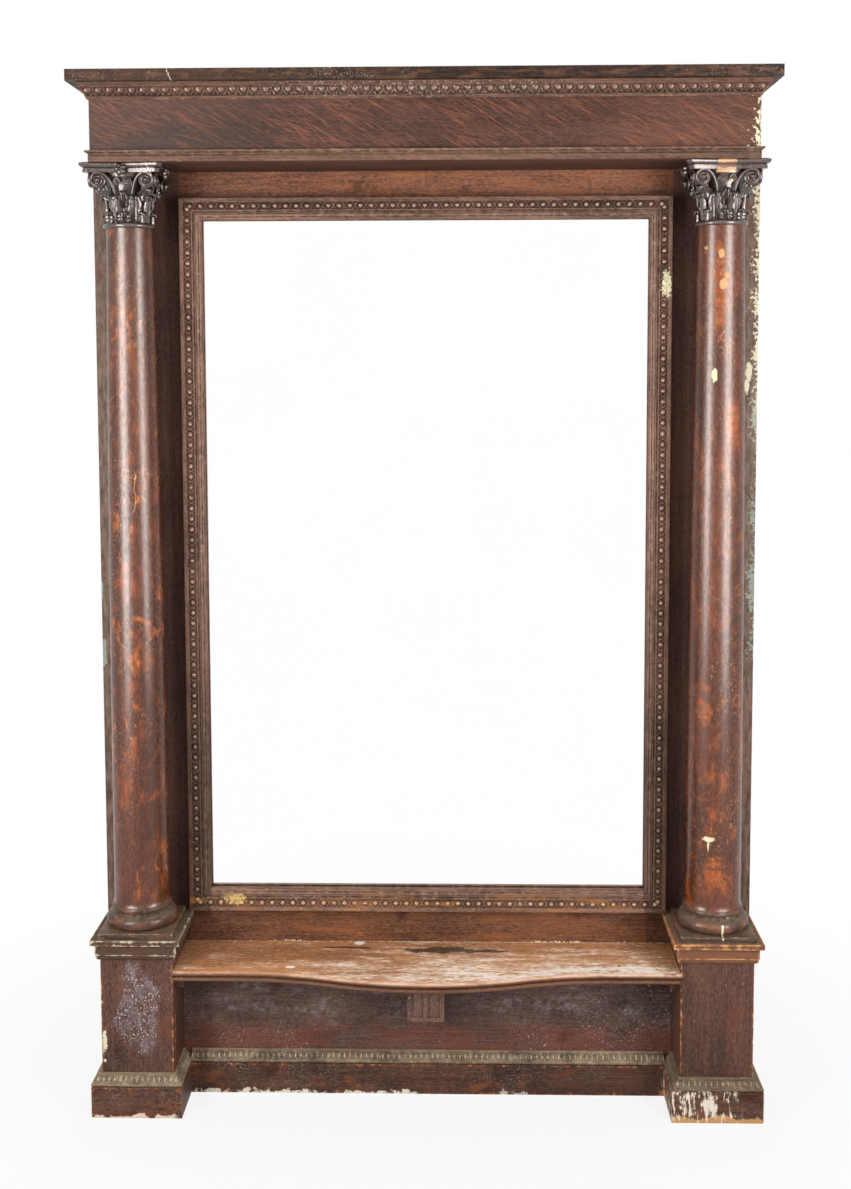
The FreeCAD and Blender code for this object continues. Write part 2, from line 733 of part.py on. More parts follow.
def make_shelf():
    """The moulded shelf, its bearers and bracket, and the apron, moulding and plinth below it."""
    lower_height = shelf_thickness - shelf_nosing_height - shelf_groove_height
    groove_z = shelf_bottom_z + lower_height
    nosing = shelf_slab(0, groove_z + shelf_groove_height, shelf_nosing_height)
    groove = shelf_slab(shelf_groove_inset, groove_z, shelf_groove_height)
    lower = shelf_slab(shelf_lower_inset, shelf_bottom_z, lower_height)
    save("shelf_board", [nosing.fuse([groove, lower]).removeSplitter()])

    apron_back = apron_projection - board_thickness
    save("apron_board", [block(
        -die_inner_x, die_inner_x, apron_back, apron_projection, 0, shelf_bottom_z)])
    run_half = die_inner_x - plinth_thickness
    run_start = at(-run_half, apron_projection, 0)
    run = right * (2 * run_half)
    save("plinth_board", [straight_run(
        plinth_outline_shares, plinth_thickness, plinth_height, run_start, run, forward, up)])
    save("apron_moulding", [straight_run(
        base_outline_shares, plinth_thickness, base_moulding_height,
        run_start + up * plinth_height, run, forward, up)])

    bearer_front = min(shelf_end_projection, die_projection) - bearer_size
    bearer = block(
        die_inner_x - bearer_size, die_inner_x, apron_projection, bearer_front,
        shelf_bottom_z - bearer_size, shelf_bottom_z)
    save("shelf_bearers", [bearer, mirrored(bearer)])

    half = bracket_width / 2
    face_low = shelf_bottom_z - bracket_height
    heel = at(-half, apron_projection, face_low - bracket_heel_drop)
    toe = at(-half, bracket_projection, face_low)
    hollow_drop = bracket_hollow_share * bracket_heel_drop
    hollow = at(-half, (apron_projection + bracket_projection) / 2, face_low - hollow_drop)
    top_back = at(-half, apron_projection, shelf_bottom_z)
    top_front = at(-half, bracket_projection, shelf_bottom_z)
    side = Part.Wire([
        Part.LineSegment(top_back, top_front).toShape(), Part.LineSegment(top_front, toe).toShape(),
        Part.Arc(toe, hollow, heel).toShape(), Part.LineSegment(heel, top_back).toShape()])
    bracket = Part.Face(side).extrude(right * bracket_width)
    panel_width = (bracket_width - 3 * bracket_border) / 2
    for left in (bracket_border - half, bracket_border / 2):
        bracket = bracket.cut(block(
            left, left + panel_width, bracket_projection - bracket_panel_depth,
            bracket_projection + cut_overrun, face_low + bracket_border, shelf_bottom_z - bracket_border))
    save("shelf_bracket", [bracket])


# Entablature

def planted_returns(shares, projection, height, z):
    """Three mitred lengths round the frieze: the front and both ends."""
    front_edge = frieze_projection + projection
    front_plan = [
        at(-frieze_half, frieze_projection, z), at(frieze_half, frieze_projection, z),
        at(frieze_half + projection, front_edge, z), at(-frieze_half - projection, front_edge, z)]
    end_plan = [
        at(frieze_half, 0, z), at(frieze_half, frieze_projection, z),
        at(frieze_half + projection, front_edge, z), at(frieze_half + projection, 0, z)]
    front = straight_run(
        shares, projection, height, at(-frieze_half - projection, frieze_projection, z),
        right * (2 * (frieze_half + projection)), forward, up)
    end = straight_run(
        shares, projection, height, at(frieze_half, 0, z), forward * front_edge, right, up)
    end = end.common(prism(end_plan, up * height)).Solids[0]
    return [front.common(prism(front_plan, up * height)).Solids[0], end, mirrored(end)]


def make_entablature():
    """The frieze box, its soffit, the planted mouldings, the cornice board and its fixings."""
    inner_front = frieze_projection - board_thickness
    cornice_holes = holes(cornice_screw_places(), -up, cornice_screw_length)
    frieze = block(-frieze_half, frieze_half, inner_front, frieze_projection, soffit_z, cornice_bottom_z)
    save("frieze_board", [frieze.cut(cornice_holes)])
    end = block(frieze_half - board_thickness, frieze_half, 0, inner_front, soffit_z, cornice_bottom_z)
    save("frieze_ends", [end, mirrored(end)])

    soffit_half = frieze_half - board_thickness
    soffit = block(-soffit_half, soffit_half, 0, inner_front, soffit_z, soffit_z + board_thickness)
    for side in (-1, 1):
        soffit = soffit.cut(upright_bore(
            side * column_x, column_projection, dowel_radius + dowel_clearance,
            soffit_z, soffit_z + board_thickness))
    save("soffit_board", [soffit])

    save("architrave_moulding", planted_returns(
        architrave_outline_shares, architrave_projection, architrave_height, soffit_z))
    save("crown_moulding", planted_returns(
        crown_outline_shares, crown_projection, crown_height, crown_bottom_z))

    cornice = block(
        -cornice_half, cornice_half, -back_frame_thickness, cornice_projection,
        cornice_bottom_z, overall_height)
    cornice = eased(cornice, lambda box: box.YMax < face_y - frieze_projection)
    save("cornice_board", [cornice.cut(cornice_holes)])
    save("cornice_screws", [
        wood_screw(place, -up, cornice_screw_length, 0) for place in cornice_screw_places()])

    block_z = soffit_z + board_thickness
    blocks = []
    for index in range(glue_block_count):
        x = ((index + 0.5) / glue_block_count - 0.5) * 2 * sight_half - glue_block_length / 2
        blocks.append(prism([
            at(x, inner_front, block_z), at(x, inner_front - glue_block_size, block_z),
            at(x, inner_front, block_z + glue_block_size)], right * glue_block_length))
    save("entablature_glue_blocks", blocks)


os.makedirs("parts", exist_ok=True)
make_back_frame()
make_mirror_frame()
make_capital(make_column())
make_pedestal()
make_shelf()
make_entablature()
print("overall", round(2 * panel_half), round(overall_depth), round(overall_height))
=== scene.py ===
# %% [markdown]
# # An oak pier mirror
#
# A pier mirror hangs or stands between two windows: a tall plate in a carved frame, with a column on
# a pedestal at each side, an entablature above and a shelf below. The solid model already gives
# every board, column and screw its place. This lesson keeps the plain boards, makes the turned and
# carved pieces again as surfaces worked out with numpy, and gives every piece the finish of dark,
# worn, varnished oak.

# %% Load the fixed frame
import math
import bmesh
import bpy
import numpy as np
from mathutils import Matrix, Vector


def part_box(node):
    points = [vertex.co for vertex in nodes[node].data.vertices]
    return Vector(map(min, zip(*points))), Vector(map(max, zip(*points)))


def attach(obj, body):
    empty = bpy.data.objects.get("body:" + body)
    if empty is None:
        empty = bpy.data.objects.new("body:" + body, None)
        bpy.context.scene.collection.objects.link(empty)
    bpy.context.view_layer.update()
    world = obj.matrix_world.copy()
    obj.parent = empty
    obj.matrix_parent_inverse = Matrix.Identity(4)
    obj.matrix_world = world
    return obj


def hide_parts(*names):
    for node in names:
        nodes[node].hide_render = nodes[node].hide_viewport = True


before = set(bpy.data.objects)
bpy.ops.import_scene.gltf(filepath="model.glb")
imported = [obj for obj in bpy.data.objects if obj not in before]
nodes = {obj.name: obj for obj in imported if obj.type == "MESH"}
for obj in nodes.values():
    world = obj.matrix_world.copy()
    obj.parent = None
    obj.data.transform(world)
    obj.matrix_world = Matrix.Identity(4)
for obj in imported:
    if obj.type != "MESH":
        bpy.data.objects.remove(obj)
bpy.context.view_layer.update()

# How the names of the two sides start, and the sign of x there.
hands = {"left_": -1, "right_": 1}

# %% [markdown]
# ## A kit for surfaces
#
# A turned column, a carved moulding and a leaf could be modelled by hand, but their shapes follow
# rules. Written as grids of points they stay exact and easy to change: one parameter runs down the
# rows and another along the columns. A shell gathers such grids into one mesh. It also keeps three
# values at each point, which the finishes read: where the point lies along the grain, how far it
# stands up in the carving, and how near it is to an arris that hands have rubbed.

# %% Grids of points become one mesh
RIGHT = np.array([1.0, 0.0, 0.0])
FORWARD = np.array([0.0, -1.0, 0.0])
UP = np.array([0.0, 0.0, 1.0])
merge_distance = 1e-6
crease_degrees = 35.0


class Shell:
    """Grids of points gathered into one mesh, with named values kept at each point."""

    def __init__(self):
        self.points = []
        self.faces = []
        self.values = {"grain": [], "crest": [], "edge": []}
        self.total = 0

    def grid(self, points, ring=False, caps=False, grain=None, crest=0.5, edge=0.0):
        """Adds rows by columns of points as quads. ring joins the last column to the first, and
        caps closes the first and the last row with one face each."""
        shape = points.shape[:2]
        index = self.total + np.arange(shape[0] * shape[1]).reshape(shape)
        ends = [index[0][::-1].tolist(), index[-1].tolist()] if caps else []
        if ring:
            index = np.hstack([index, index[:, :1]])
        quads = np.stack([index[:-1, :-1], index[:-1, 1:], index[1:, 1:], index[1:, :-1]], axis=-1)
        self.faces += quads.reshape(-1, 4).tolist() + ends
        self.points.append(points.reshape(-1, 3))
        along = points if grain is None else grain
        self.values["grain"].append(np.broadcast_to(along, shape + (3,)).reshape(-1, 3))
        self.values["crest"].append(np.broadcast_to(crest, shape).reshape(-1))
        self.values["edge"].append(np.broadcast_to(edge, shape).reshape(-1))
        self.total += shape[0] * shape[1]

    def piece(self, node, manner, material, slot):
        """Makes the object that stands for a solid, named for the solid and the manner of making:
        doubles merged, faces turned outwards, and creases kept sharp."""
        name = node + "_" + manner
        mesh = bpy.data.meshes.new(name)
        mesh.from_pydata(np.concatenate(self.points).tolist(), [], self.faces)
        for key, rows in self.values.items():
            kind, field = ("FLOAT_VECTOR", "vector") if key == "grain" else ("FLOAT", "value")
            layer = mesh.attributes.new(key, kind, "POINT")
            layer.data.foreach_set(field, np.concatenate(rows).astype(np.float32).ravel())
        work = bmesh.new()
        work.from_mesh(mesh)
        bmesh.ops.remove_doubles(work, verts=work.verts, dist=merge_distance)
        bmesh.ops.recalc_face_normals(work, faces=work.faces)
        work.to_mesh(mesh)
        work.free()
        mesh.shade_smooth()
        mesh.set_sharp_from_angle(angle=math.radians(crease_degrees))
        mesh.materials.append(material)
        made = bpy.data.objects.new(name, mesh)
        bpy.context.scene.collection.objects.link(made)
        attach(made, "root")
        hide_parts(node)
        print(name, len(mesh.polygons), "faces")


def corners(node):
    """The lowest and the highest corner of a solid, as arrays."""
    low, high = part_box(node)
    return np.array(low), np.array(high)


# %% [markdown]
# ## A kit for finishes
#
# A finish could be drawn as a picture of nodes, but it is a sum of simple patterns, so it is easier
# to read as arithmetic. The first class wraps a node's output and turns Python's operators into
# Math nodes. It also has names for the masks that come up again and again.

# %% Arithmetic on sockets
class Socket:
    """A value among the nodes. Arithmetic on it adds Math nodes."""

    def __init__(self, tree, link):
        self.tree = tree
        self.link = link

    def maths(self, operation, first, second=0.0):
        """One Math node."""
        return self.tree.node("ShaderNodeMath", {0: first, 1: second}, operation=operation)

    def __add__(self, other):
        return self.maths("ADD", self, other)

    def __sub__(self, other):
        return self.maths("SUBTRACT", self, other)

    def __rsub__(self, other):
        return self.maths("SUBTRACT", other, self)

    def __mul__(self, other):
        return self.maths("MULTIPLY", self, other)

    __radd__ = __add__
    __rmul__ = __mul__

    def greater(self, other):
        """The larger of two values."""
        return self.maths("MAXIMUM", self, other)

    def size(self):
        """The value without its sign."""
        return self.maths("ABSOLUTE", self)

    def whole(self):
        """The whole number below."""
        return self.maths("FLOOR", self)

    def over(self, low, high):
        """0 below low and 1 above high, with a smooth step between."""
        return self.tree.node(
            "ShaderNodeMapRange", {"Value": self, "From Min": low, "From Max": high},
            interpolation_type="SMOOTHSTEP")

    def under(self, low, high):
        """1 below low and 0 above high, with a smooth step between."""
        return 1 - self.over(low, high)

    def near(self, middle, inner, outer):
        """1 within the inner distance from a middle value, and 0 beyond the outer distance."""
        return (self - middle).size().under(inner, outer)

    def blend(self, under, above):
        """The colour under where this value is 0, and the one above where it is 1."""
        return self.tree.node("ShaderNodeMix", {0: self, 6: under, 7: above}, 2, data_type="RGBA")

    def beside(self, output):
        """Another output of the same node."""
        return Socket(self.tree, self.link.node.outputs[output])


def shade(red, green, blue):
    """A colour as it shows on a screen, 0 to 255, turned to the linear one a shader takes."""
    shown = np.array([red, green, blue]) / 255
    linear = np.where(shown <= 0.04045, shown / 12.92, ((shown + 0.055) / 1.055) ** 2.4)
    return (*linear.tolist(), 1.0)


print("mid grey as a shader takes it", round(shade(128, 128, 128)[0], 3))

# %% [markdown]
# The second class holds the nodes of a material or of the room. Each kind of node could have a
# function of its own, but one method that takes the kind, its settings and its sockets serves all.

# %% Nodes
class Tree:
    """The nodes of a material or of the room. Every node comes from one method."""

    def __init__(self, owner):
        owner.use_nodes = True
        self.tree = owner.node_tree
        self.tree.nodes.clear()

    def node(self, kind, inputs=None, output=0, **settings):
        """Adds a node: its settings first, then the values or links of its sockets."""
        made = self.tree.nodes.new(kind)
        for key, value in settings.items():
            setattr(made, key, value)
        for key, value in (inputs or {}).items():
            if isinstance(value, Socket):
                self.tree.links.new(value.link, made.inputs[key])
            else:
                made.inputs[key].default_value = value
        return Socket(self, made.outputs[output]) if len(made.outputs) else None

    def vectors(self, operation, first, second=(0, 0, 0), output="Vector"):
        """One step of arithmetic on vectors."""
        return self.node("ShaderNodeVectorMath", {0: first, 1: second}, output, operation=operation)


# %% [markdown]
# The third class is a material under way. It lays one coat over another, as a polisher does: stain,
# figure, wear, dust, paint. Patterns could follow an unwrapped map, but boards and carvings have no
# natural one. So they read the place on the object, and a board keeps its figure from every side.

# %% Coats on a material
bump_depth = 0.0006
old_gloss = 0.1
noise_roughness = 0.6
spot_rim = (0.8, 1.0)


class Finish(Tree):
    """A material under way: its colour, its roughness and its height, coat upon coat."""

    def __init__(self, name):
        self.material = bpy.data.materials.new(name)
        super().__init__(self.material)
        self.place = self.node("ShaderNodeTexCoord", output="Object")
        self.x, self.y, self.z = self.parts(self.place)
        self.colour = shade(128, 128, 128)
        self.rough = 0.5
        self.height = 0.0

    def value_at(self, name, output="Fac"):
        """One of the values that a shell keeps at its points."""
        return self.node("ShaderNodeAttribute", output=output, attribute_name=name)

    def parts(self, vector):
        """The three numbers of a vector."""
        first = self.node("ShaderNodeSeparateXYZ", {"Vector": vector})
        return first, first.beside(1), first.beside(2)

    def grain(self, axis):
        """Coordinates whose first number runs along the grain."""
        if axis == "kept":
            return self.value_at("grain", "Vector")
        order = {"x": (self.x, self.y, self.z), "z": (self.z, self.x, self.y)}[axis]
        return self.node("ShaderNodeCombineXYZ", dict(enumerate(order)))

    def noise(self, stretch, detail=3, warp=0.0, where=None):
        """Cloudy values about 0.5, with so many clouds to the metre on each axis, or on all three
        where one number is given. They lie on the object unless other coordinates are given."""
        spread = (stretch,) * 3 if np.isscalar(stretch) else stretch
        scaled = self.vectors("MULTIPLY", where or self.place, spread)
        return self.node("ShaderNodeTexNoise", {
            "Vector": scaled, "Scale": 1.0, "Detail": detail, "Roughness": noise_roughness,
            "Distortion": warp})

    def spots(self, places, ragged=0.5, fineness=60):
        """1 within any of some ellipsoids, given as (centre, reach), with torn rims."""
        torn = (self.noise(fineness, 5) - 0.5) * (2 * ragged)
        found = 0.0
        for centre, reach in places:
            share = self.vectors("DIVIDE", self.vectors("SUBTRACT", self.place, centre), reach)
            far = self.vectors("LENGTH", share, output="Value")
            found = (far + torn).under(*spot_rim).greater(found)
        return found

    def cover(self, mask, colour, rough=None):
        """Lays a colour, and perhaps a roughness, over what is there, where the mask is 1."""
        self.colour = mask.blend(self.colour, colour)
        if rough is not None:
            self.rough = self.rough + mask * (rough - self.rough)

    def done(self, coat=0.0, coat_rough=0.16, coat_ior=1.4, bump=0.4, metal=0.0, gloss=old_gloss):
        """Joins the coats to one shader, with the height as a bump."""
        normal = self.node("ShaderNodeBump", {
            "Strength": bump, "Distance": bump_depth, "Height": self.height})
        surface = self.node("ShaderNodeBsdfPrincipled", {
            "Base Color": self.colour, "Roughness": self.rough, "Normal": normal,
            "Specular IOR Level": gloss, "Metallic": metal,
            "Coat Weight": coat, "Coat Roughness": coat_rough, "Coat IOR": coat_ior})
        self.node("ShaderNodeOutputMaterial", {"Surface": surface})
        print(self.material.name, len(self.tree.nodes), "nodes")
        return self.material


# %% [markdown]
# ## Coats of old oak
#
# The case is quartersawn oak under a dark stain. Close up it has long streaks and short pores,
# and paler ray flecks slant across the broad boards. A photograph of oak could be wrapped round
# each board, but it would repeat and smear at the ends. Noise stretched along the grain goes right
# through the wood instead, so the ends and the faces agree.

# %% Stain, flecks and grime
ebony = shade(24, 16, 14)
usual_pores = 0.38


def oak_figure(finish, axis, dark, light, pores=usual_pores):
    """Colour, height and roughness of stained oak: long streaks, broad clouds, fine mottling and
    short pores."""
    grain = finish.grain(axis)
    streak = finish.noise((9, 260, 260), 4, where=grain)
    broad = finish.noise((3, 9, 9), 4, where=grain)
    mottle = finish.noise((110, 260, 260), 5, where=grain)
    pore = finish.noise((60, 900, 900), where=grain).over(0.53, 0.7)
    tone = (streak * 0.25 + broad * 0.35 + mottle * 0.4).over(0.4, 0.6)
    colour = (pore * pores).blend(tone.blend(dark, light), ebony)
    height = streak * 0.4 + mottle * 0.6 - pore * 0.8
    return colour, height, 0.34 + 0.2 * broad + 0.16 * mottle


def stained_oak(name, axis, dark, light, pores=usual_pores):
    """A new finish of stained oak."""
    finish = Finish(name)
    finish.colour, finish.height, finish.rough = oak_figure(finish, axis, dark, light, pores)
    return finish


def ray_flecks(finish, slant, colour, strength, share, stretch=(20, 110, 250)):
    """Thin flecks that slant by so many degrees, in drifts: stretched noise, cut at a high level."""
    turn = (0.0, math.radians(slant), 0.0)
    turned = finish.node("ShaderNodeMapping", {"Vector": finish.place, "Rotation": turn})
    fleck = finish.noise(stretch, 2, 0.7, turned).over(0.56, 0.68)
    drift = finish.noise((3, 3, 5), 2).over(0.62 - 0.35 * share, 0.75 - 0.25 * share)
    finish.cover(fleck * drift * strength, colour)


def grime(finish, share):
    """Dark clouds of old varnish and smoke."""
    cloud = finish.noise(11, 6)
    finish.cover(cloud.over(0.68 - 0.3 * share, 0.8 - 0.2 * share) * 0.6, ebony)


print("ebony as a shader takes it", [round(part, 4) for part in ebony[:3]])

# %% [markdown]
# A century of use rubbed the stain off the arrises, chipped it, and left dust in the hollows, pale
# crumbs along the joints, a white bloom on the pedestals and old wall paint on the outer edges. Each
# could be painted by hand on every piece. As a coat with a function of its own, it comes out the
# same way everywhere, and a finish only says how much of it there is.

# %% Wear, chips, dust and paint
amber = shade(170, 96, 50)
raw_wood = shade(214, 168, 118)
cream = shade(232, 222, 190)
old_dust = shade(150, 138, 114)
pale_bloom = shade(206, 200, 200)
grey_green = shade(150, 158, 146)


def rubbed_edges(finish, amount, near=amber, bare=raw_wood):
    """Stain worn off the arrises, to amber and then to bare wood."""
    rub = finish.value_at("edge") * (0.6 + 0.5 * amount) + (finish.noise(75, 6) - 0.5) * 1.7
    finish.cover(rub.over(0.58, 0.85) * 0.6, near, 0.55)
    finish.cover(rub.over(0.82, 0.98) * 0.8, bare, 0.7)


def crumbs(finish, where, share, colour=cream):
    """Pale crumbs of dust, filler and paint, where a value is near 1."""
    grit = finish.noise(150, 6)
    level = 1.11 - 0.1 * share
    finish.cover((where * 0.4 + grit).over(level, level + 0.06) * 0.85, colour, 0.8)


def chips(finish, many, colour=raw_wood, size=0.13, cells_per_metre=26):
    """Scattered chips: a few cells of a cell pattern, with torn outlines."""
    far = finish.node("ShaderNodeTexVoronoi", {"Vector": finish.place, "Scale": cells_per_metre})
    chosen = finish.parts(far.beside("Color"))[0].over(1.0 - many, 1.02 - many)
    torn = finish.noise(180, 4)
    finish.cover(chosen * (far + torn * 0.3).under(size, size + 0.06), colour, 0.75)


def specks(finish, share, colour=pale_bloom, stretch=420, within=1.0):
    """Fine pale specks, in drifts."""
    grit = finish.noise(stretch, 2).over(0.60, 0.72)
    drift = finish.noise(9, 4).over(0.66 - 0.3 * share, 0.78 - 0.2 * share)
    finish.cover(grit * drift * within * (0.45 + 0.4 * share), colour, 0.7)


def settled_dust(finish, amount, colour=old_dust):
    """Dust on what faces up, broken by rubbing."""
    facing = finish.parts(finish.node("ShaderNodeNewGeometry", output="Normal"))[2]
    broken = finish.noise((24, 24, 42), 5)
    finish.cover((facing * 0.6 + broken).over(0.72, 1.26) * amount, colour, 0.85)


def wall_paint(finish, distance, reach):
    """A torn mask of brushed-over paint that thins out with the distance from an edge."""
    coarse = (finish.noise((18, 18, 14), 4) - 0.5) * 1.2
    fine = (finish.noise(130, 4) - 0.5) * 1.7
    return (0.85 - distance * (0.9 / reach) + coarse + fine).over(0.72, 0.8)


def ragged_foot(finish, height, fineness=35):
    """1 below a height that wanders along the floor."""
    torn = finish.noise(fineness, 6)
    return (finish.z - height * (5 * torn - 2)).under(0.0, height * 0.3)


# %% [markdown]
# ## Finishes of the boards
#
# One oak finish could serve every board, but on the real piece each has a look of its own. The
# entablature's frieze is covered in ray flecks, greyer to the left and warmer to the right, and the
# cornice above it is dusty, chipped and cracked. So each board lays its own choice of coats.

# %% Entablature
frieze_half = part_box("frieze_board")[1][0]
cornice_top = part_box("cornice_board")[1][2]
cornice_crack_x = -0.508


def frieze_finish():
    """Dark oak with three layers of ray flecks, and wall paint at the right end."""
    finish = stained_oak("frieze_oak", "x", shade(50, 35, 30), shade(90, 62, 52))
    finish.cover(finish.x.under(-0.6, 0.0) * 0.25, shade(96, 84, 82))
    ray_flecks(finish, -32, shade(166, 100, 70), 0.62, 1.0, (13, 130, 480))
    ray_flecks(finish, -14, shade(160, 96, 68), 0.55, 0.8, (12, 130, 480))
    ray_flecks(finish, -46, shade(164, 100, 70), 0.5, 0.5, (15, 140, 480))
    finish.cover(finish.x.over(0.0, 0.6) * 0.08, shade(150, 80, 44))
    grime(finish, 0.15)
    specks(finish, 0.12)
    finish.cover(wall_paint(finish, frieze_half - finish.x, 0.06), cream, 0.7)
    return finish.done()


def cornice_finish():
    """Dusty, chipped oak, with crumbs along the top edge and one slanting crack in front."""
    finish = stained_oak("cornice_oak", "x", shade(32, 23, 19), shade(72, 50, 39))
    cloud = finish.noise((22, 40, 90), 6)
    finish.cover(cloud.over(0.48, 0.66) * 0.6, shade(116, 78, 56))
    grime(finish, 0.3)
    chips(finish, 0.2)
    specks(finish, 0.6)
    settled_dust(finish, 0.7)
    below_top = cornice_top - finish.z
    crumbs(finish, below_top.under(0.0, 0.005), 1.7, shade(188, 160, 124))
    wander = (finish.noise((60, 60, 160)) - 0.5) * 0.012
    crack = (finish.x - cornice_crack_x - 0.4 * below_top + wander).size()
    front = finish.y.under(-0.114, -0.108)
    finish.cover(crack.under(0.0004, 0.0011) * front, cream, 0.7)
    return finish.done()


def soffit_finish():
    """Plain dark oak, out of reach of hands."""
    finish = stained_oak("soffit_oak", "x", shade(54, 37, 32), shade(92, 60, 49))
    grime(finish, 0.3)
    return finish.done()


frieze_oak = frieze_finish()
cornice_oak = cornice_finish()
soffit_oak = soffit_finish()

# %% [markdown]
# The back frame shows as flat panels beside the columns, nearly black behind them, with old wall
# paint on the right edge. The rails run between the stiles. Above and below the carved frame, the
# ends of the stiles look like the rails beside them, so the stiles take the rails' tones there.
# Single marks are ellipsoids with torn rims, each a place and a reach in metres.

# %% Back frame
panel_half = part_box("right_stile")[1][0]
face_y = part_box("left_stile")[0][1]
frame_low_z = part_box("frame_moulding_bottom")[0][2]
frame_high_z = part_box("frame_moulding_top")[1][2]
frame_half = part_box("frame_moulding_top")[1][0]
shelf_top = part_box("shelf_board")[1][2]
paint_foot = 0.93
paint_change = 1.42
top_rail_tones = (shade(92, 60, 49), shade(160, 104, 76))
riser_tones = (shade(70, 46, 35), shade(126, 84, 61))
cream_splashes = [((0.694, 0.092, 1.575), (0.008, 0.02, 0.022)),
                  ((0.689, 0.092, 1.545), (0.006, 0.02, 0.018))]
green_streaks = [((-0.709, 0.092, 0.965), (0.007, 0.02, 0.035)),
                 ((-0.712, 0.092, 1.1), (0.004, 0.02, 0.02))]


def stile_finish():
    """Dark oak, made paler outside the frieze's line as painted light from the side lamps, rail tones
    by the frame's ends, and wall paint that turns from grey-green to cream on its way up."""
    finish = stained_oak("stile_oak", "z", shade(62, 46, 41), shade(104, 71, 60))
    ray_flecks(finish, 68, shade(120, 62, 44), 0.5, 0.5)
    grime(finish, 0.25)
    from_middle = finish.x.size()
    # Painted light: the outer edge of each stile is made paler, as if the side lamps lit it.
    outer = from_middle.over(frieze_half - 0.012, frieze_half + 0.004)
    cloud = finish.noise((110, 110, 30), 6)
    finish.cover(outer * cloud.over(0.32, 0.74), shade(134, 112, 96))
    beside = from_middle.under(frame_half + 0.002, frame_half + 0.006)
    above = beside * finish.z.over(frame_high_z - 0.001, frame_high_z + 0.001)
    below = beside * finish.z.under(frame_low_z - 0.001, frame_low_z + 0.001)
    finish.cover(above, oak_figure(finish, "x", *top_rail_tones)[0])
    finish.cover(below, oak_figure(finish, "x", *riser_tones)[0])
    specks(finish, 0.2)
    height = finish.noise(5, 4) * 0.3 - 0.15 + finish.z
    paint = height.over(paint_change, paint_change + 0.15).blend(grey_green, cream)
    painted = wall_paint(finish, panel_half - finish.x, 0.045)
    finish.cover(painted * height.over(paint_foot, paint_foot + 0.06), paint, 0.75)
    finish.cover(finish.spots(cream_splashes, 0.7, 90), cream, 0.75)
    finish.cover(finish.spots(green_streaks, 0.9, 90), grey_green, 0.75)
    return finish.done()


def rail_finish(name, tones):
    """Warm oak with level flecks, a glow in clouds, and crumbs where it meets the shelf."""
    finish = stained_oak(name, "x", *tones)
    ray_flecks(finish, -8, shade(182, 112, 72), 0.5, 0.9, (40, 150, 260))
    glow = finish.noise((5, 5, 34), 6).over(0.5, 0.7)
    finish.cover(glow * 0.35, shade(178, 112, 52))
    grime(finish, 0.35)
    specks(finish, 0.2)
    joint = finish.z.near(shelf_top, 0.001, 0.006)
    drift = finish.noise(7, 5).over(0.4, 0.62)
    crumbs(finish, joint * drift * finish.y.under(face_y, face_y + 0.003), 2.6)
    return finish.done()


stile_oak = stile_finish()
top_rail_oak = rail_finish("top_rail_oak", top_rail_tones)
riser_oak = rail_finish("riser_oak", riser_tones)

# %% [markdown]
# The apron under the shelf has a haze across its middle, red-brown below it and painted shade in its
# upper corners. The pedestals have a white bloom, most of it on the left one, where something
# splashed. The bloom is not a flat stain but a crowd of specks, so it is made of specks that keep
# within a torn spot.

# %% Apron and pedestals
bloom_patch = [((-0.610, -0.07, 0.24), (0.05, 0.05, 0.105))]
pale_flakes = [((-0.6845, -0.07, 0.158), (0.006, 0.02, 0.024)),
               ((-0.684, -0.07, 0.116), (0.003, 0.02, 0.004))]
haze_level = 0.205


def apron_finish():
    """Grey-brown oak: red below, a pale haze across the middle, and painted shade in the upper
    corners, under the shelf and beside the pedestals.
    """
    finish = stained_oak("apron_oak", "x", shade(70, 53, 48), shade(114, 88, 79), 0.25)
    cloud = finish.noise((13, 13, 26), 6)
    low = finish.z.under(0.12, 0.18)
    finish.cover(low * cloud.over(0.35, 0.6) * 0.6, shade(118, 62, 44))
    fine = finish.noise((55, 55, 70), 6)
    haze = finish.z.near(haze_level, 0.02, 0.08) * cloud.over(0.44, 0.62)
    finish.cover(haze * fine.over(0.4, 0.66) * 0.5, shade(150, 140, 136))
    # Painted shade: the upper corners, under the shelf and beside the pedestals, are darkened.
    corner = finish.x.size().over(0.28, 0.5) * finish.z.over(0.19, 0.28)
    finish.cover(corner * 0.55, ebony)
    grime(finish, 0.3)
    chips(finish, 0.08)
    specks(finish, 0.8)
    specks(finish, 0.6, stretch=160)
    return finish.done()


def pedestal_finish():
    """Dark oak with red patches, chips, a bloom of specks and rubbed arrises."""
    finish = stained_oak("pedestal_oak", "z", shade(66, 47, 41), shade(106, 74, 62), 0.15)
    ray_flecks(finish, 20, shade(134, 74, 48), 0.4, 0.4)
    grime(finish, 0.35)
    chips(finish, 0.1)
    red = finish.noise((13, 13, 8), 6).over(0.54, 0.7)
    finish.cover(red * 0.45, shade(126, 62, 42))
    chips(finish, 0.2, shade(184, 112, 60), 0.2, 60)
    specks(finish, 0.45)
    patch = finish.spots(bloom_patch, 0.9, 16)
    specks(finish, 1.8, shade(232, 230, 236), (300, 300, 130), patch)
    specks(finish, 1.8, shade(214, 210, 220), within=patch)
    haze = finish.noise((60, 60, 30), 5).over(0.4, 0.7)
    finish.cover(patch * haze * 0.4, shade(150, 142, 146))
    finish.cover(finish.spots(pale_flakes, 1.3, 190), shade(220, 210, 182), 0.75)
    rubbed_edges(finish, 0.5)
    crumbs(finish, finish.value_at("edge"), 0.8)
    return finish.done()


apron_oak = apron_finish()
pedestal_oak = pedestal_finish()

# %% [markdown]
# The caps are rubbed along their lips, the right one to a warm tan. The plinths met brooms and wet
# floors: the stain is gone in a ragged line along the foot, and pale smears cling to the right one.
# Drawn smears would look like marks with a meaning, so these are noise cut inside a box. The bracket
# under the shelf has crumbs on its ridges.

# %% Caps, plinths and bracket
smear_centre_x = 0.578
smear_centre_z = 0.038


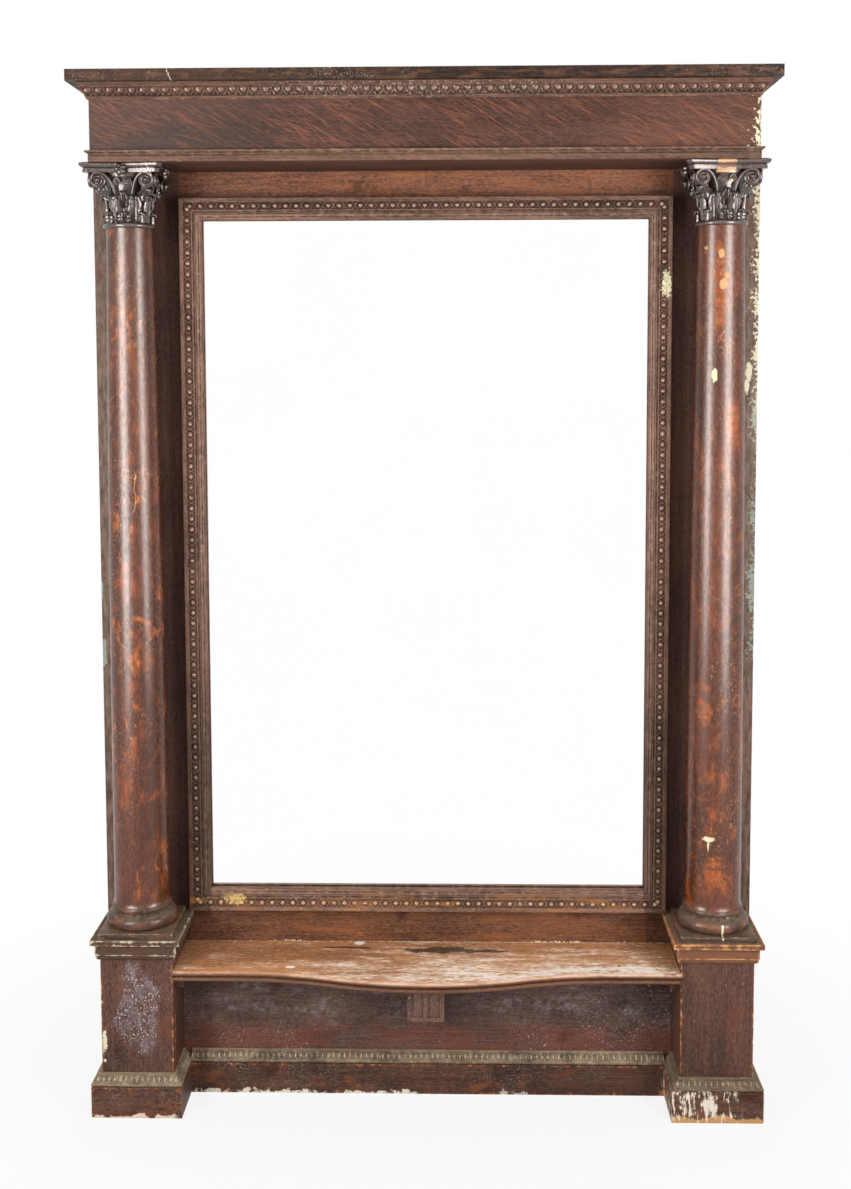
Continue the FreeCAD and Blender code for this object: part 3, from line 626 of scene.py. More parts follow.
def cap_finish():
    """Dusty oak with worn lips, darker on the left cap and warmer on the right."""
    finish = stained_oak("cap_oak", "kept", shade(60, 43, 35), shade(106, 76, 60), 0.2)
    grime(finish, 0.35)
    settled_dust(finish, 0.55)
    right = finish.x.over(0.0, 0.1)
    finish.cover(0.25 - right * 0.25, ebony)
    finish.cover(right * 0.3, shade(156, 98, 62))
    near = right.blend(shade(116, 94, 78), shade(172, 110, 70))
    bare = right.blend(shade(212, 198, 168), shade(214, 162, 108))
    rubbed_edges(finish, 0.8, near, bare)
    crumbs(finish, finish.value_at("edge"), 1.2, bare)
    specks(finish, 0.5)
    return finish.done()


def plinth_finish():
    """Knocked oak with a ragged pale foot, which differs on the left, the run and the right, and
    with pale smears on the right."""
    finish = stained_oak("plinth_oak", "x", shade(62, 44, 37), shade(108, 75, 60))
    cloud = finish.noise((16, 16, 30), 6)
    finish.cover(cloud.over(0.54, 0.7) * 0.5, shade(148, 84, 48))
    grime(finish, 0.4)
    run = finish.x.size().under(0.50, 0.52)
    # Darker over the right half of the run and at its left end.
    darkened = finish.x.over(0.05, 0.3).greater(finish.x.under(-0.47, -0.3))
    finish.cover(run * darkened * 0.3, ebony)
    chips(finish, 0.3, raw_wood, 0.1, 60)
    specks(finish, 0.6)
    rubbed_edges(finish, 0.2)
    drift = finish.noise((8, 8, 1), 4)
    fresh = (drift - 0.12 * finish.x.over(0.0, 0.3)).over(0.44, 0.54)
    finish.cover(ragged_foot(finish, 0.009, 70) * fresh * run, shade(232, 222, 202), 0.8)
    left = finish.x.under(-0.54, -0.52)
    finish.cover(ragged_foot(finish, 0.008) * left, shade(226, 204, 182), 0.8)
    right = finish.x.over(0.50, 0.52)
    finish.cover(right * finish.z.over(0.03, 0.06) * finish.x.over(0.6, 0.68) * 0.6, ebony)
    finish.cover(ragged_foot(finish, 0.017, 22) * right, shade(196, 150, 98), 0.75)
    sideways = ((finish.x - smear_centre_x) * 12).size()
    upwards = ((finish.z - smear_centre_z) * 24).size()
    reach = 1 - sideways.greater(upwards)
    streak = finish.noise((120, 120, 26), 6, 1.0)
    blot = finish.noise((34, 34, 40), 4)
    smear = reach * 0.35 + (streak - 0.5) * 2.4 + (blot - 0.5) * 1.4
    smeared = smear.over(0.14, 0.4) * reach.over(-0.1, 0.2) * right
    finish.cover(smeared * 0.9, shade(238, 226, 208), 0.8)
    return finish.done()


def bracket_finish():
    """Oak with pale crumbs on the ridges that stand furthest forward."""
    finish = stained_oak("bracket_oak", "z", shade(80, 60, 52), shade(126, 96, 82))
    ridge = (finish.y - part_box("shelf_bracket")[0][1]).under(0.0, 0.004)
    crumbs(finish, ridge, 0.7, shade(190, 168, 138))
    specks(finish, 0.4)
    return finish.done()


cap_oak = cap_finish()
plinth_oak = plinth_finish()
bracket_oak = bracket_finish()

# %% [markdown]
# ## Finish of the shelf
#
# The top is bare in front, where things were put down and wiped for years. The stain survives at
# the back and the left, long streaks of pale worn wood run along the front, and something once
# stood wet on it and left dark stains and a few flakes of paint. Wear could be a picture of the
# board, but here it is a level that grows towards the front and the middle. Noise breaks it, and
# two cuts through it give the tan wood and the white wood, both paler than wear alone as painted
# light from above.

# %% Worn shelf
shelf_stains = [((0.035, 0.047, shelf_top), (0.075, 0.017, 0.02)),
                ((0.125, 0.043, shelf_top), (0.05, 0.008, 0.02)),
                ((-0.17, 0.058, shelf_top), (0.06, 0.005, 0.02))]
paint_flakes = [((-0.290, -0.043, shelf_top), (0.011, 0.007, 0.01)),
                ((-0.15, 0.081, shelf_top), (0.012, 0.010, 0.01))]
nail_hole = [((0.412, -0.028, shelf_top), (0.004, 0.004, 0.01))]
nosing_groove = shelf_top - 0.0122
lower_bead = shelf_top - 0.0150


def shelf_finish():
    """Warm oak, worn to tan and white on top and made paler there as painted light from above, with a
    dark edge and a groove along it, the groove darkened as dirt and painted shade.
    """
    finish = stained_oak("shelf_oak", "x", shade(140, 91, 58), shade(210, 150, 104))
    long_streak = finish.noise((10, 70, 40), 6)
    fine_streak = finish.noise((70, 330, 60), 6) - 0.5
    blotch = finish.noise((8, 20, 10), 5)
    forward = (0.092 - finish.y) * 4.6
    middle = finish.x.near(0.16, 0.05, 0.7)
    worn = forward * 0.45 + middle * 0.45 + (long_streak - 0.5) * 1.6 + (blotch - 0.5) * 1.4
    top = finish.z.over(shelf_top - 0.004, shelf_top - 0.001)
    tan_wear = (worn + fine_streak * 1.2).over(0.3, 0.85)
    right = finish.x.over(0.1, 0.45) * forward.over(0.4, 0.8)
    white_wear = (worn + right * 0.35 + fine_streak * 2.4).over(0.7, 1.02)
    # Painted light: the worn top's tan and white are paler than the wear alone, as if lit from above.
    finish.cover(tan_wear * 0.7 * top, shade(230, 190, 154), 0.6)
    finish.cover(white_wear * 0.9 * top, shade(250, 240, 228), 0.7)
    finish.cover(finish.spots(shelf_stains, 0.9, 40) * 0.88, shade(52, 34, 26))
    finish.cover(finish.spots(paint_flakes, 0.6, 200), shade(244, 242, 238), 0.8)
    back = finish.y.over(0.083, 0.091) * top
    crumbs(finish, back * (0.7 + 0.3 * middle), 3.0)
    finish.cover(finish.spots(nail_hole, 0.1), ebony)
    specks(finish, 0.8, shade(244, 234, 218), (200, 300, 240))
    finish.cover((1 - top) * 0.8, shade(88, 57, 45))
    edge = finish.value_at("edge")
    arris = finish.z.over(shelf_top - 0.006, shelf_top - 0.003) * edge.over(0.6, 0.85)
    finish.cover(arris * (tan_wear * 0.5 + 0.2), shade(220, 176, 146), 0.6)
    # Dark line in the groove: partly dirt, partly painted shade.
    groove = finish.z.near(nosing_groove, 0.0008, 0.0022)
    finish.cover(groove * edge * 0.8, ebony)
    lower_line = finish.z.near(lower_bead, 0.001, 0.003)
    crumbs(finish, lower_line * edge, 1.3, shade(196, 172, 140))
    grime(finish, 0.1)
    return finish.done()


shelf_oak = shelf_finish()

# %% [markdown]
# ## Finish of the carving
#
# Dirt and old varnish collect in the hollows of a carving, and hands and dusters polish its high
# points. Shadows alone would not show the dirt, and paint by hand would miss the shapes. The shell
# keeps how far each point stands up, so dark and light follow the shape itself: the dark in the
# hollows is partly dirt and partly painted shade, the pale crests are partly wear and partly a
# painted highlight, and only the polished points carry a glossy coat.

# %% Frame and crown
polish_ior = 1.6
varnish_gloss = 0.5
paint_on_frame = [((0.512, 0.066, 1.762), (0.011, 0.02, 0.030))]
gold_on_frame = [((-0.425, 0.066, 0.418), (0.030, 0.02, 0.012))]
crown_band_z = 2.13
architrave_top_z = 2.0275


def moulding_finish(name, dark, light, pale_tip_and_highlight, hollow=ebony):
    """Stained oak, dark in the hollows as dirt and painted shade, and pale on the crests as wear and
    a painted highlight; also gives the gloss.
    """
    finish = stained_oak(name, "kept", dark, light)
    crest = finish.value_at("crest")
    torn = finish.noise(60, 4) - 0.5
    # Dark in the hollows: partly dirt and old varnish, partly painted shade.
    finish.cover((0.36 - crest + torn * 0.4).over(0.05, 0.3) * 0.8, hollow)
    # Pale tips on the crests: partly wear, partly a painted highlight.
    finish.cover((crest + torn * 0.3).over(0.86, 0.98) * 0.7, pale_tip_and_highlight, 0.3)
    return finish, crest.over(0.5, 0.75)


def frame_finish():
    """Polished carving, darker on the lower sides, and worn to gold along the bottom rail."""
    finish, gloss = moulding_finish(
        "frame_oak", shade(92, 68, 57), shade(156, 117, 97), shade(190, 152, 126))
    rubbed_edges(finish, 0.3, shade(136, 108, 92), shade(160, 132, 112))
    specks(finish, 0.3)
    finish.cover(finish.spots(paint_on_frame, 1.4, 160), cream, 0.75)
    at_sides = finish.x.size().over(frame_half - 0.05, frame_half - 0.045)
    finish.cover(finish.z.under(0.7, 1.2) * at_sides * 0.45, ebony)
    low_rail = finish.z.under(frame_low_z + 0.03, frame_low_z + 0.04)
    worn = finish.noise((9, 60, 60), 5).over(0.46, 0.66) * low_rail
    finish.cover(worn * 0.7, shade(172, 118, 72), 0.5)
    finish.cover(finish.spots(gold_on_frame, 1.5, 150) * 0.8, shade(228, 196, 128), 0.6)
    patchy = finish.noise(40, 4).over(0.35, 0.65)
    finish.cover(gloss * low_rail * patchy * 0.6, shade(188, 130, 80), 0.4)
    crumbs(finish, low_rail, 0.5)
    return finish.done(coat=gloss * 0.6, coat_rough=0.12, coat_ior=polish_ior)


def crown_finish():
    """Polished carving with a gritty band above it, for the crown and the architrave."""
    finish, gloss = moulding_finish(
        "crown_oak", shade(80, 57, 47), shade(134, 98, 80), shade(184, 148, 128))
    rubbed_edges(finish, 0.25, shade(140, 110, 88), shade(164, 136, 112))
    middle = finish.x.near(-0.02, 0.15, 0.45)
    band = finish.z.over(crown_band_z, crown_band_z + 0.005)
    grit = finish.noise((260, 260, 200), 5).over(0.52, 0.68)
    finish.cover(grit * middle * band * 0.55, shade(222, 208, 194), 0.7)
    grime(finish, 0.1)
    lower = finish.z.under(architrave_top_z, architrave_top_z + 0.001)
    finish.cover(lower * middle * 0.15, shade(160, 126, 98))
    finish.cover(lower * (1 - middle) * 0.15, ebony)
    specks(finish, 0.3)
    settled_dust(finish, 0.6)
    return finish.done(coat=gloss * 0.6, coat_rough=0.12, coat_ior=polish_ior)


frame_oak = frame_finish()
crown_oak = crown_finish()

# %% [markdown]
# The carved base moulding is grey with dust, less so on the right. The capitals are the darkest
# pieces, thick with varnish, and painted shade makes the backs and low points of their carving
# nearly black. The right one has lost the flower from its front, and the bare patch shows raw wood
# with a torn rim. The left one is cracked from its horn down. Patch and crack are masks worked out
# from the place on the object, so no shape has to be cut.

# %% Base moulding and capitals
lost_flower_x = 0.611
capital_crack_x = -0.5612
capital_crack_z = 2.0054
capital_crack_slope = 0.335
pale_chip = [((0.6215, -0.058, 1.963), (0.0045, 0.02, 0.0045))]


def base_finish():
    """Carving under grey dust, with darker patches on the right pedestal."""
    finish, gloss = moulding_finish(
        "base_moulding_oak", shade(96, 76, 58), shade(156, 130, 102), shade(204, 184, 152),
        shade(38, 30, 24))
    settled_dust(finish, 0.8, shade(176, 162, 132))
    dust = finish.noise(70, 6)
    finish.cover(dust.over(0.5, 0.68) * 0.45, shade(184, 168, 138), 0.85)
    right = finish.x.over(0.5, 0.52)
    finish.cover(right * dust.over(0.3, 0.56) * 0.5, shade(60, 42, 33))
    grime(finish, 0.5)
    specks(finish, 0.7)
    return finish.done(coat=gloss * 0.2)


def capital_finish():
    """Dark varnish, nearly black as painted shade on the backs and low points of the carving, with
    the bare patch on the right capital and the crack in the left one.
    """
    finish = stained_oak("capital_varnish", "z", shade(46, 34, 28), shade(82, 61, 51))
    finish.rough = finish.rough * 0.5
    crest = finish.value_at("crest")
    # Painted shade: the backs of leaves and scrolls, the grooves and other low points go nearly
    # black.
    finish.cover((0.3 - crest).over(0.0, 0.3) * 0.7, shade(16, 12, 11))
    specks(finish, 0.2)
    front = finish.y.under(-0.055, -0.045)
    across = finish.x.near(lost_flower_x, 0.0175, 0.0195)
    patch = across * front * finish.z.over(1.980, 1.982)
    torn = finish.noise((90, 90, 160), 5) - 0.5
    upper_rim = (finish.z + torn * 0.012).over(1.9975, 2.0)
    lower_rim = (finish.z + torn * 0.008).under(1.9875, 1.989)
    rim = upper_rim + lower_rim
    finish.cover(patch, rim.blend(shade(104, 66, 46), shade(208, 158, 104)), 0.6)
    slant = capital_crack_slope * (finish.z - capital_crack_z)
    crack = (finish.x - capital_crack_x + slant + torn * 0.008).size()
    cracked = crack.under(0.0004, 0.001) * finish.z.over(1.977, 1.979) * front
    pale = finish.spots(pale_chip, 0.2, 90)
    finish.cover(cracked.greater(pale), shade(238, 212, 168), 0.6)
    return finish.done(coat=0.35, coat_rough=0.14, coat_ior=polish_ior, gloss=varnish_gloss)


base_moulding_oak = base_finish()
capital_varnish = capital_finish()

# %% [markdown]
# ## Finish of the columns
#
# The shafts were polished. Under the gloss, the quartersawn figure shows as curved orange strokes.
# Strokes drawn one by one would look drawn, so they are the level lines of a slow noise, kept only
# in drifts and broken by the grain. Knocks left tan chips and a few splashes of paint.

# %% Polished columns
right_axis = 0.6135
gold_bands = [((right_axis - 0.01, -0.053, 1.74), (0.015, 0.03, 0.10)),
              ((right_axis + 0.02, -0.05, 1.47), (0.016, 0.03, 0.07)),
              ((right_axis - 0.035, -0.05, 0.87), (0.02, 0.03, 0.03)),
              ((right_axis - 0.01, -0.06, 0.52), (0.02, 0.03, 0.04))]
tan_chips = [((0.577, -0.05, 1.831), (0.005, 0.03, 0.005)),
             ((0.606, -0.05, 1.819), (0.007, 0.03, 0.010)),
             ((0.611, -0.05, 1.757), (0.009, 0.03, 0.012)),
             ((0.619, -0.05, 1.775), (0.006, 0.03, 0.006))]
paint_splashes = [((0.595, -0.05, 1.572), (0.006, 0.03, 0.015)),
                  ((0.593, -0.06, 0.600), (0.013, 0.03, 0.006)),
                  ((0.593, -0.06, 0.588), (0.002, 0.03, 0.014))]
shaft_crack_x = -0.602
shaft_crack_z = 1.33


def column_finish():
    """Red-brown gloss with orange strokes along the level lines of a slow noise: 1 where the noise
    is next to 0.5, in drifts, with gaps, fewer on the right column and higher up."""
    finish = stained_oak("column_oak", "z", shade(62, 27, 12), shade(104, 50, 22))
    finish.rough = finish.rough * 0.52
    right = finish.x.over(-0.1, 0.1)
    finish.cover(finish.z.over(1.4, 1.85) * (1 - right) * 0.5, shade(70, 46, 38))
    slow = finish.noise((15, 15, 11), 2, 0.8)
    drift = finish.noise((9, 9, 7))
    thread = finish.noise((9, 300, 300), 4, where=finish.grain("z"))
    low = 1 - finish.z.over(0.8, 1.75) * 0.5
    broken = (thread.over(0.36, 0.6) * 0.8 + 0.2) * low
    stroke = slow.near(0.5, 0.004, 0.05)
    gap = finish.noise((34, 34, 26), 4).over(0.42, 0.6)
    calm = 1 - right * 0.65
    finish.cover(stroke * drift.over(0.44, 0.6) * gap * calm * broken, shade(212, 116, 42))
    patch = finish.noise((26, 26, 18), 6, 0.4)
    finish.cover(patch.over(0.5, 0.72) * broken * 0.7, shade(184, 92, 36))
    cross = finish.noise((12, 12, 130), 4).over(0.35, 0.65)
    bands = finish.spots(gold_bands, 0.9, 40)
    finish.cover(bands * (cross * 0.6 + 0.2), shade(176, 86, 22))
    finish.cover(finish.spots(tan_chips, 0.35, 90), shade(204, 148, 90), 0.65)
    finish.cover(finish.spots(paint_splashes, 0.8, 120), shade(222, 212, 176), 0.7)
    wander = (finish.noise((40, 40, 25)) - 0.5) * 0.04
    crack = (finish.x - shaft_crack_x + wander).size()
    cracked = crack.under(0.0004, 0.0012) * finish.z.near(shaft_crack_z, 0.03, 0.05)
    finish.cover(cracked, shade(214, 168, 104), 0.7)
    chips(finish, 0.12, shade(206, 138, 76), 0.08, 60)
    specks(finish, 0.7, shade(210, 150, 94), (320, 320, 200))
    grime(finish, 0.15)
    return finish.done(gloss=varnish_gloss, bump=0.22)


column_oak = column_finish()

# %% [markdown]
# The turned bases below them were never as glossy. Dust lies in the hollow between the two rounds,
# the rounds are rubbed, and paint dripped on the right one.

# %% Turned bases
paint_drips = [((0.622, -0.075, 0.409), (0.0024, 0.02, 0.017)),
               ((0.638, -0.07, 0.43), (0.005, 0.02, 0.004))]


def turned_base_finish():
    """Dark oak: dust in the hollow, rubbed rounds, crumbs on the arrises and a drip of paint."""
    finish = stained_oak("column_base_oak", "kept", shade(60, 43, 35), shade(98, 70, 57))
    grime(finish, 0.3)
    settled_dust(finish, 0.25)
    hollow = finish.value_at("crest").under(0.02, 0.3)
    broken = finish.noise((90, 90, 60), 5).over(0.42, 0.6)
    finish.cover(hollow * broken * 0.4, shade(150, 138, 112), 0.85)
    rubbed = finish.noise((30, 30, 90), 6).over(0.5, 0.64)
    finish.cover(rubbed * (1 - hollow) * 0.6, shade(150, 90, 52), 0.4)
    rubbed_edges(finish, 0.3, shade(128, 104, 86), shade(196, 180, 150))
    crumbs(finish, finish.value_at("edge"), 1.1)
    specks(finish, 0.5)
    finish.cover(finish.spots(paint_drips, 1.1, 150), cream, 0.7)
    return finish.done(coat=0.35, coat_rough=0.2)


column_base_oak = turned_base_finish()

# %% [markdown]
# ## Finishes of what is behind
#
# The backing is seven boards of bare pine, gone brown, with steel screws. One finish serves all
# seven: the number of the board, counted from the left, picks its tone, and its edges are dark. The
# plate is silvered: a metal with next to no roughness, a shade less bright than white.

# %% Pine, steel and silver
backing_count = 7


def pine_finish():
    """Brown pine. A board's place is its whole number, and the rest runs 0 to 1 across it."""
    finish = stained_oak("backing_pine", "z", shade(132, 98, 64), shade(182, 144, 98))
    low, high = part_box("backing_boards")
    board = (finish.x - low[0]) * (backing_count / (high[0] - low[0]))
    number = board.whole()
    tone = finish.node("ShaderNodeTexWhiteNoise", {"W": number}, noise_dimensions="1D")
    finish.cover(tone * 0.4, shade(112, 80, 52))
    finish.cover((board - number - 0.5).size().over(0.486, 0.496) * 0.8, ebony)
    stain = finish.noise((4, 4, 2), 5).over(0.5, 0.75)
    finish.cover(stain * 0.45, shade(92, 68, 46))
    specks(finish, 0.3, shade(78, 62, 46))
    return finish.done()


def steel_finish():
    """Grey steel with rust in clouds, rougher where it has rusted."""
    finish = Finish("screw_steel")
    rust = finish.noise(300, 4)
    finish.colour = rust.over(0.45, 0.7).blend(shade(120, 116, 112), shade(92, 60, 42))
    finish.rough = 0.35 + 0.4 * rust
    return finish.done(metal=0.9)


def mirror_finish():
    """Silvered glass, a little dulled in clouds."""
    finish = Finish("mirror_silver")
    cloud = finish.noise(5, 4)
    finish.colour = cloud.blend(shade(254, 254, 254), shade(255, 255, 255))
    finish.rough = 0.01 + 0.02 * cloud.over(0.6, 0.8)
    return finish.done(bump=0.0, metal=1.0)


backing_pine = pine_finish()
screw_steel = steel_finish()
mirror_silver = mirror_finish()

# %% [markdown]
# ## Boards that keep their solid
#
# The stiles and rails have rebates and mortises behind, and the cornice has screw holes. They could
# be made again, but the solid shapes already have all of that, so they stay. They only trade their
# plain material for the finish of the board.

# %% Dress the solids that stay
kept_solids = {
    "left_stile": stile_oak, "right_stile": stile_oak, "top_rail": top_rail_oak,
    "bottom_rail": riser_oak, "frieze_board": frieze_oak, "frieze_ends": frieze_oak,
    "soffit_board": soffit_oak, "cornice_board": cornice_oak, "shelf_bracket": bracket_oak,
    "shelf_bearers": soffit_oak, "mirror_plate": mirror_silver, "backing_boards": backing_pine,
    "mirror_packing_blocks": backing_pine, "column_dowels": backing_pine,
    "pedestal_corner_blocks": backing_pine, "entablature_glue_blocks": backing_pine,
    "backing_screws": screw_steel, "cornice_screws": screw_steel}
for node, material in kept_solids.items():
    nodes[node].data.materials.clear()
    nodes[node].data.materials.append(material)
print("solids dressed as they are", len(kept_solids))

# %% [markdown]
# ## Worn boards
#
# A board from a workshop has no knife-sharp arris, and after a century it has dents. A bevel would
# round it evenly, so the edge is worked out instead. The box of the solid is kept, its faces are cut
# into a grid with most lines near the edges, and each point is drawn in to a rounded edge: clamp it
# to a smaller box, then step out by the radius, less a dent.

# %% Rounded, dented boards
arris_radius = 0.0016
rub_width = 0.012
dent_depth = 0.0008
dent_pitch = 0.06
board_cell = 0.05
wave_count = 7
near_lines = np.array([0.0, 0.4, 1.0, 2.2, 5.0]) * arris_radius


def ripple(points, pitch, seed):
    """Smooth noise, about -1 to 1: a sum of sine waves in chance directions."""
    chance = np.random.default_rng(seed)
    waves = chance.normal(size=(wave_count, 3)) * 2 * np.pi / pitch
    shift = chance.uniform(0, 2 * np.pi, wave_count)
    return np.sin(points @ waves.T + shift).mean(axis=-1) * 2


def cuts(low, high):
    """Places of grid lines: close together at both ends, and evenly spread between."""
    near = near_lines[near_lines < (high - low) / 2]
    count = max(2, int((high - low) / board_cell) + 1)
    middle = np.linspace(low + near[-1], high - near[-1], count + 1)[1:-1]
    return np.concatenate([low + near, middle, high - near[::-1]])


def worn_board(low, high, along, seed):
    """A box with rounded, dented edges: clamp to a smaller box, then step out by the radius."""
    shell = Shell()
    for axis in range(3):
        others = [other for other in range(3) if other != axis]
        lines = [cuts(low[other], high[other]) for other in others]
        across, down = np.meshgrid(*lines, indexing="ij")
        for side in (low, high):
            flat = np.empty(across.shape + (3,))
            flat[..., axis] = side[axis]
            flat[..., others[0]] = across
            flat[..., others[1]] = down
            core = np.clip(flat, low + arris_radius, high - arris_radius)
            step = flat - core
            step /= np.linalg.norm(step, axis=-1, keepdims=True)
            nearest = np.sort(np.minimum(flat - low, high - flat), axis=-1)[..., 1]
            edge = np.clip(1 - nearest / rub_width, 0, 1)
            dent = dent_depth * np.clip(ripple(flat, dent_pitch, seed), 0, 1) * edge ** 4
            points = core + step * (arris_radius - dent)[..., None]
            shell.grid(points, grain=np.roll(points, -along, axis=-1), edge=edge)
    return shell


print("grid lines along a board of 1 m", len(cuts(0.0, 1.0)))

# %% [markdown]
# The apron's grain runs across, the pedestals' runs up, and the blocks under the columns are cut
# from the columns' wood. Each board's dents come from a seed, so they are the same in every run. The
# caps show only their lips, because the mouldings hide the rest.

# %% Apron, pedestals, blocks and caps
ACROSS = 0
UPRIGHT = 2
cap_lip_height = 0.0115
board_nodes = {"apron_board": (apron_oak, ACROSS, "case_oak")}
for part in ("pedestal_front", "pedestal_outer_side", "pedestal_inner_side"):
    for hand in hands:
        board_nodes[hand + part] = (pedestal_oak, UPRIGHT, "case_oak")
for hand in hands:
    board_nodes[hand + "base_block"] = (column_base_oak, ACROSS, "column_oak")
for seed, (node, (material, along, slot)) in enumerate(board_nodes.items()):
    worn_board(*corners(node), along, seed).piece(node, "worn", material, slot)

for seed, hand in enumerate(hands):
    node = hand + "pedestal_cap"
    low, high = corners(node)
    low[2] = high[2] - cap_lip_height
    worn_board(low, high, ACROSS, seed).piece(node, "worn", cap_oak, "case_oak")

# %% [markdown]
# ## Mouldings
#
# A moulding is planed to one section, and the best ones are carved along it. The section is a table
# of legs in shares of its width and height, so it fits whatever box the solid has. Carving could be
# a bump in the finish, but its outline shows at every mitre, so the eggs are real shapes.

# %% An outline, and a row of eggs
CARVED = None
egg_length = 0.8
rim_breadth = 0.47
rim_length = 1.1
rim_height = 0.55
rim_edge = 0.12
ground_depth = 0.45


def leg(out, up, stand=0.5, steps=1, bulge=0.0):
    """One leg of a section: where it ends, in shares of the width and the height, how far it
    stands up, from 0 in a groove to 1 on a crest, its steps, and how far it bulges to its left."""
    return out, up, stand, steps, bulge


def outline(width, height, legs):
    """A section from its back corner through its legs: start + t run + 4 bulge t (1 - t) left.
    Also gives -1 to 1 across a carved leg, and how far each point stands up."""
    points = [np.zeros((1, 2))]
    across = [np.array([np.nan])]
    stands = [np.array([0.5])]
    for out, up, stand, steps, bulge in legs:
        start = points[-1][-1]
        run = np.array([out * width, up * height]) - start
        left = np.array([-run[1], run[0]]) / np.hypot(*run)
        t = np.linspace(0, 1, steps + 1)[1:]
        points.append(start + np.outer(t, run) + np.outer(4 * bulge * t * (1 - t), left))
        across.append(2 * t - 1 if stand is CARVED else np.full(steps, np.nan))
        stands.append(np.full(steps, 0.0 if stand is CARVED else stand))
    return np.concatenate(points), np.concatenate(across), np.concatenate(stands)


def egg_row(along, across, pitch, height, breadth, lean):
    """Eggs in rims. With x the share of a pitch from the egg's middle, y the place across and
    q = y + lean (1 - y^2), the egg is the root of 1 - (x/breadth)^2 - (q/length)^2, and the rim is
    a ring round it that meets the next one half way."""
    x = (along / pitch + 0.5) % 1 - 0.5
    y = np.nan_to_num(across, nan=1.0)
    q = y + lean * (1 - y ** 2)
    egg = np.sqrt(np.clip(1 - (x / breadth) ** 2 - (q / egg_length) ** 2, 0, 1))
    ring = np.hypot(x / rim_breadth, q / rim_length)
    rim = rim_height * np.exp(-((ring - 1) / rim_edge) ** 2)
    window = 1 - y ** 8
    crest = np.maximum(egg, rim) * window
    return height * (crest - ground_depth * window), crest


square = (leg(0, 1), leg(1, 1), leg(1, 0))
print("corners of a plain square section", len(outline(1, 1, square)[0]))

# %% [markdown]
# A section is carried along a line. Where two lengths meet at a corner, each is cut on a mitre, so
# a point that stands further out also runs further along, or less far in a frame. The eggs are a
# height added square to the section, with a whole number of them in each length.

# %% A section carried along a line
corner_turn = 0.5
plain_cell = 0.03
egg_steps = 12
end_lines = np.array([0.0, 0.3, 1.0]) * rub_width
grain_shift = 3
# Eggs: their pitch, their height, half their breadth as a share of the pitch, and their lean.
no_eggs = (plain_cell, 0.0, 0.3, 0.0)


def carried(shell, section, start, along, length, outward, upward, mitres, eggs=no_eggs):
    """A section of (outward, upward) points carried along a line: start + x along + w outward +
    h upward, where x runs from -m0 w to length + m1 w for mitres m0 and m1. Arrises are where the
    section turns sharply and where an outside mitre ends."""
    points, across, stands = section
    legs = np.roll(points, -1, axis=0) - points
    heading = np.arctan2(legs[:, 1], legs[:, 0])
    turn = np.abs((heading - np.roll(heading, 1) + np.pi) % (2 * np.pi) - np.pi)
    tangent = legs + np.roll(legs, 1, axis=0)
    normal = np.stack([-tangent[:, 1], tangent[:, 0]], axis=-1)
    normal /= np.linalg.norm(normal, axis=-1, keepdims=True)
    pitch, height, breadth, lean = eggs
    count = max(1, round(length / pitch))
    steps = count if eggs is no_eggs else count * egg_steps
    near = end_lines / length
    even = np.linspace(0, 1, steps + 1)
    t = np.unique(np.concatenate([near, even, 1 - near]))[:, None]

    def run_along(w):
        """Places along the line of points that stand out by w, cut on the mitres."""
        return -mitres[0] * w + t * (length + (mitres[0] + mitres[1]) * w)

    x = run_along(points[:, 0])
    rise, crest = egg_row(x - length / 2, across, length / count, height, breadth, lean)
    carved = ~np.isnan(across)
    rise = np.where(carved, rise, 0.0)
    crest = np.where(carved, crest, stands)
    w = points[:, 0] + rise * normal[:, 0]
    h = points[:, 1] + rise * normal[:, 1]
    x = run_along(w)
    placed = start + x[..., None] * along + w[..., None] * outward + h[..., None] * upward
    grain = np.stack([x + placed[..., 2] * grain_shift, w + start[0], h + start[2]], axis=-1)
    gaps = [np.where(mitre > 0, gap, 1.0) for mitre, gap in zip(mitres, (t, 1 - t))]
    to_end = np.minimum(*gaps) * length
    edge = np.maximum(turn > corner_turn, np.clip(1 - to_end / rub_width, 0, 1))
    shell.grid(placed, ring=True, caps=True, grain=grain, crest=crest, edge=edge)


# %% [markdown]
# The frame round the glass has a flat outer band, a row of eggs, a fillet, a groove and a bead. It
# is measured inwards from its outer edge, so both of its mitres shorten it. The slips at the edge of
# the glass have a groove along the face, and slope in towards the plate.

# %% The carved frame and the sight slips
frame_eggs = (0.0229, 0.0062, 0.28, 0.0)
slip_width = 0.0125
frame_legs = (
    leg(0, 0.97), leg(0.03, 1), leg(0.24, 1, steps=2), leg(0.27, 0.86, 0.1),
    leg(0.72, 0.66, CARVED, 18, 0.0016), leg(0.74, 0.62, 0.4), leg(0.79, 0.62, 0.6),
    leg(0.82, 0.42, 0.0), leg(0.86, 0.42, 0.1), leg(0.97, 0.42, 0.5, 5, 0.0016),
    leg(1, 0.42, 0.1), leg(1, 0, 0.0))
slip_legs = (
    leg(0, 0.95, 0.1), leg(0.06, 1), leg(0.40, 1, 0.6), leg(0.44, 0.88, 0.0),
    leg(0.54, 0.88, 0.1), leg(0.58, 0.98, 0.6), leg(1, 0.66, 0.5, 4, 0.0006), leg(1, 0))


def frame_sides(low, high):
    """Start, direction, length and inward direction of the four sides of an upright frame."""
    left_low = np.array([low[0], face_y, low[2]])
    left_high = np.array([low[0], face_y, high[2]])
    right_low = np.array([high[0], face_y, low[2]])
    width = high[0] - low[0]
    height = high[2] - low[2]
    return {
        "top": (left_high, RIGHT, width, -UP), "bottom": (left_low, RIGHT, width, UP),
        "left": (left_low, UP, height, RIGHT), "right": (right_low, UP, height, -RIGHT)}


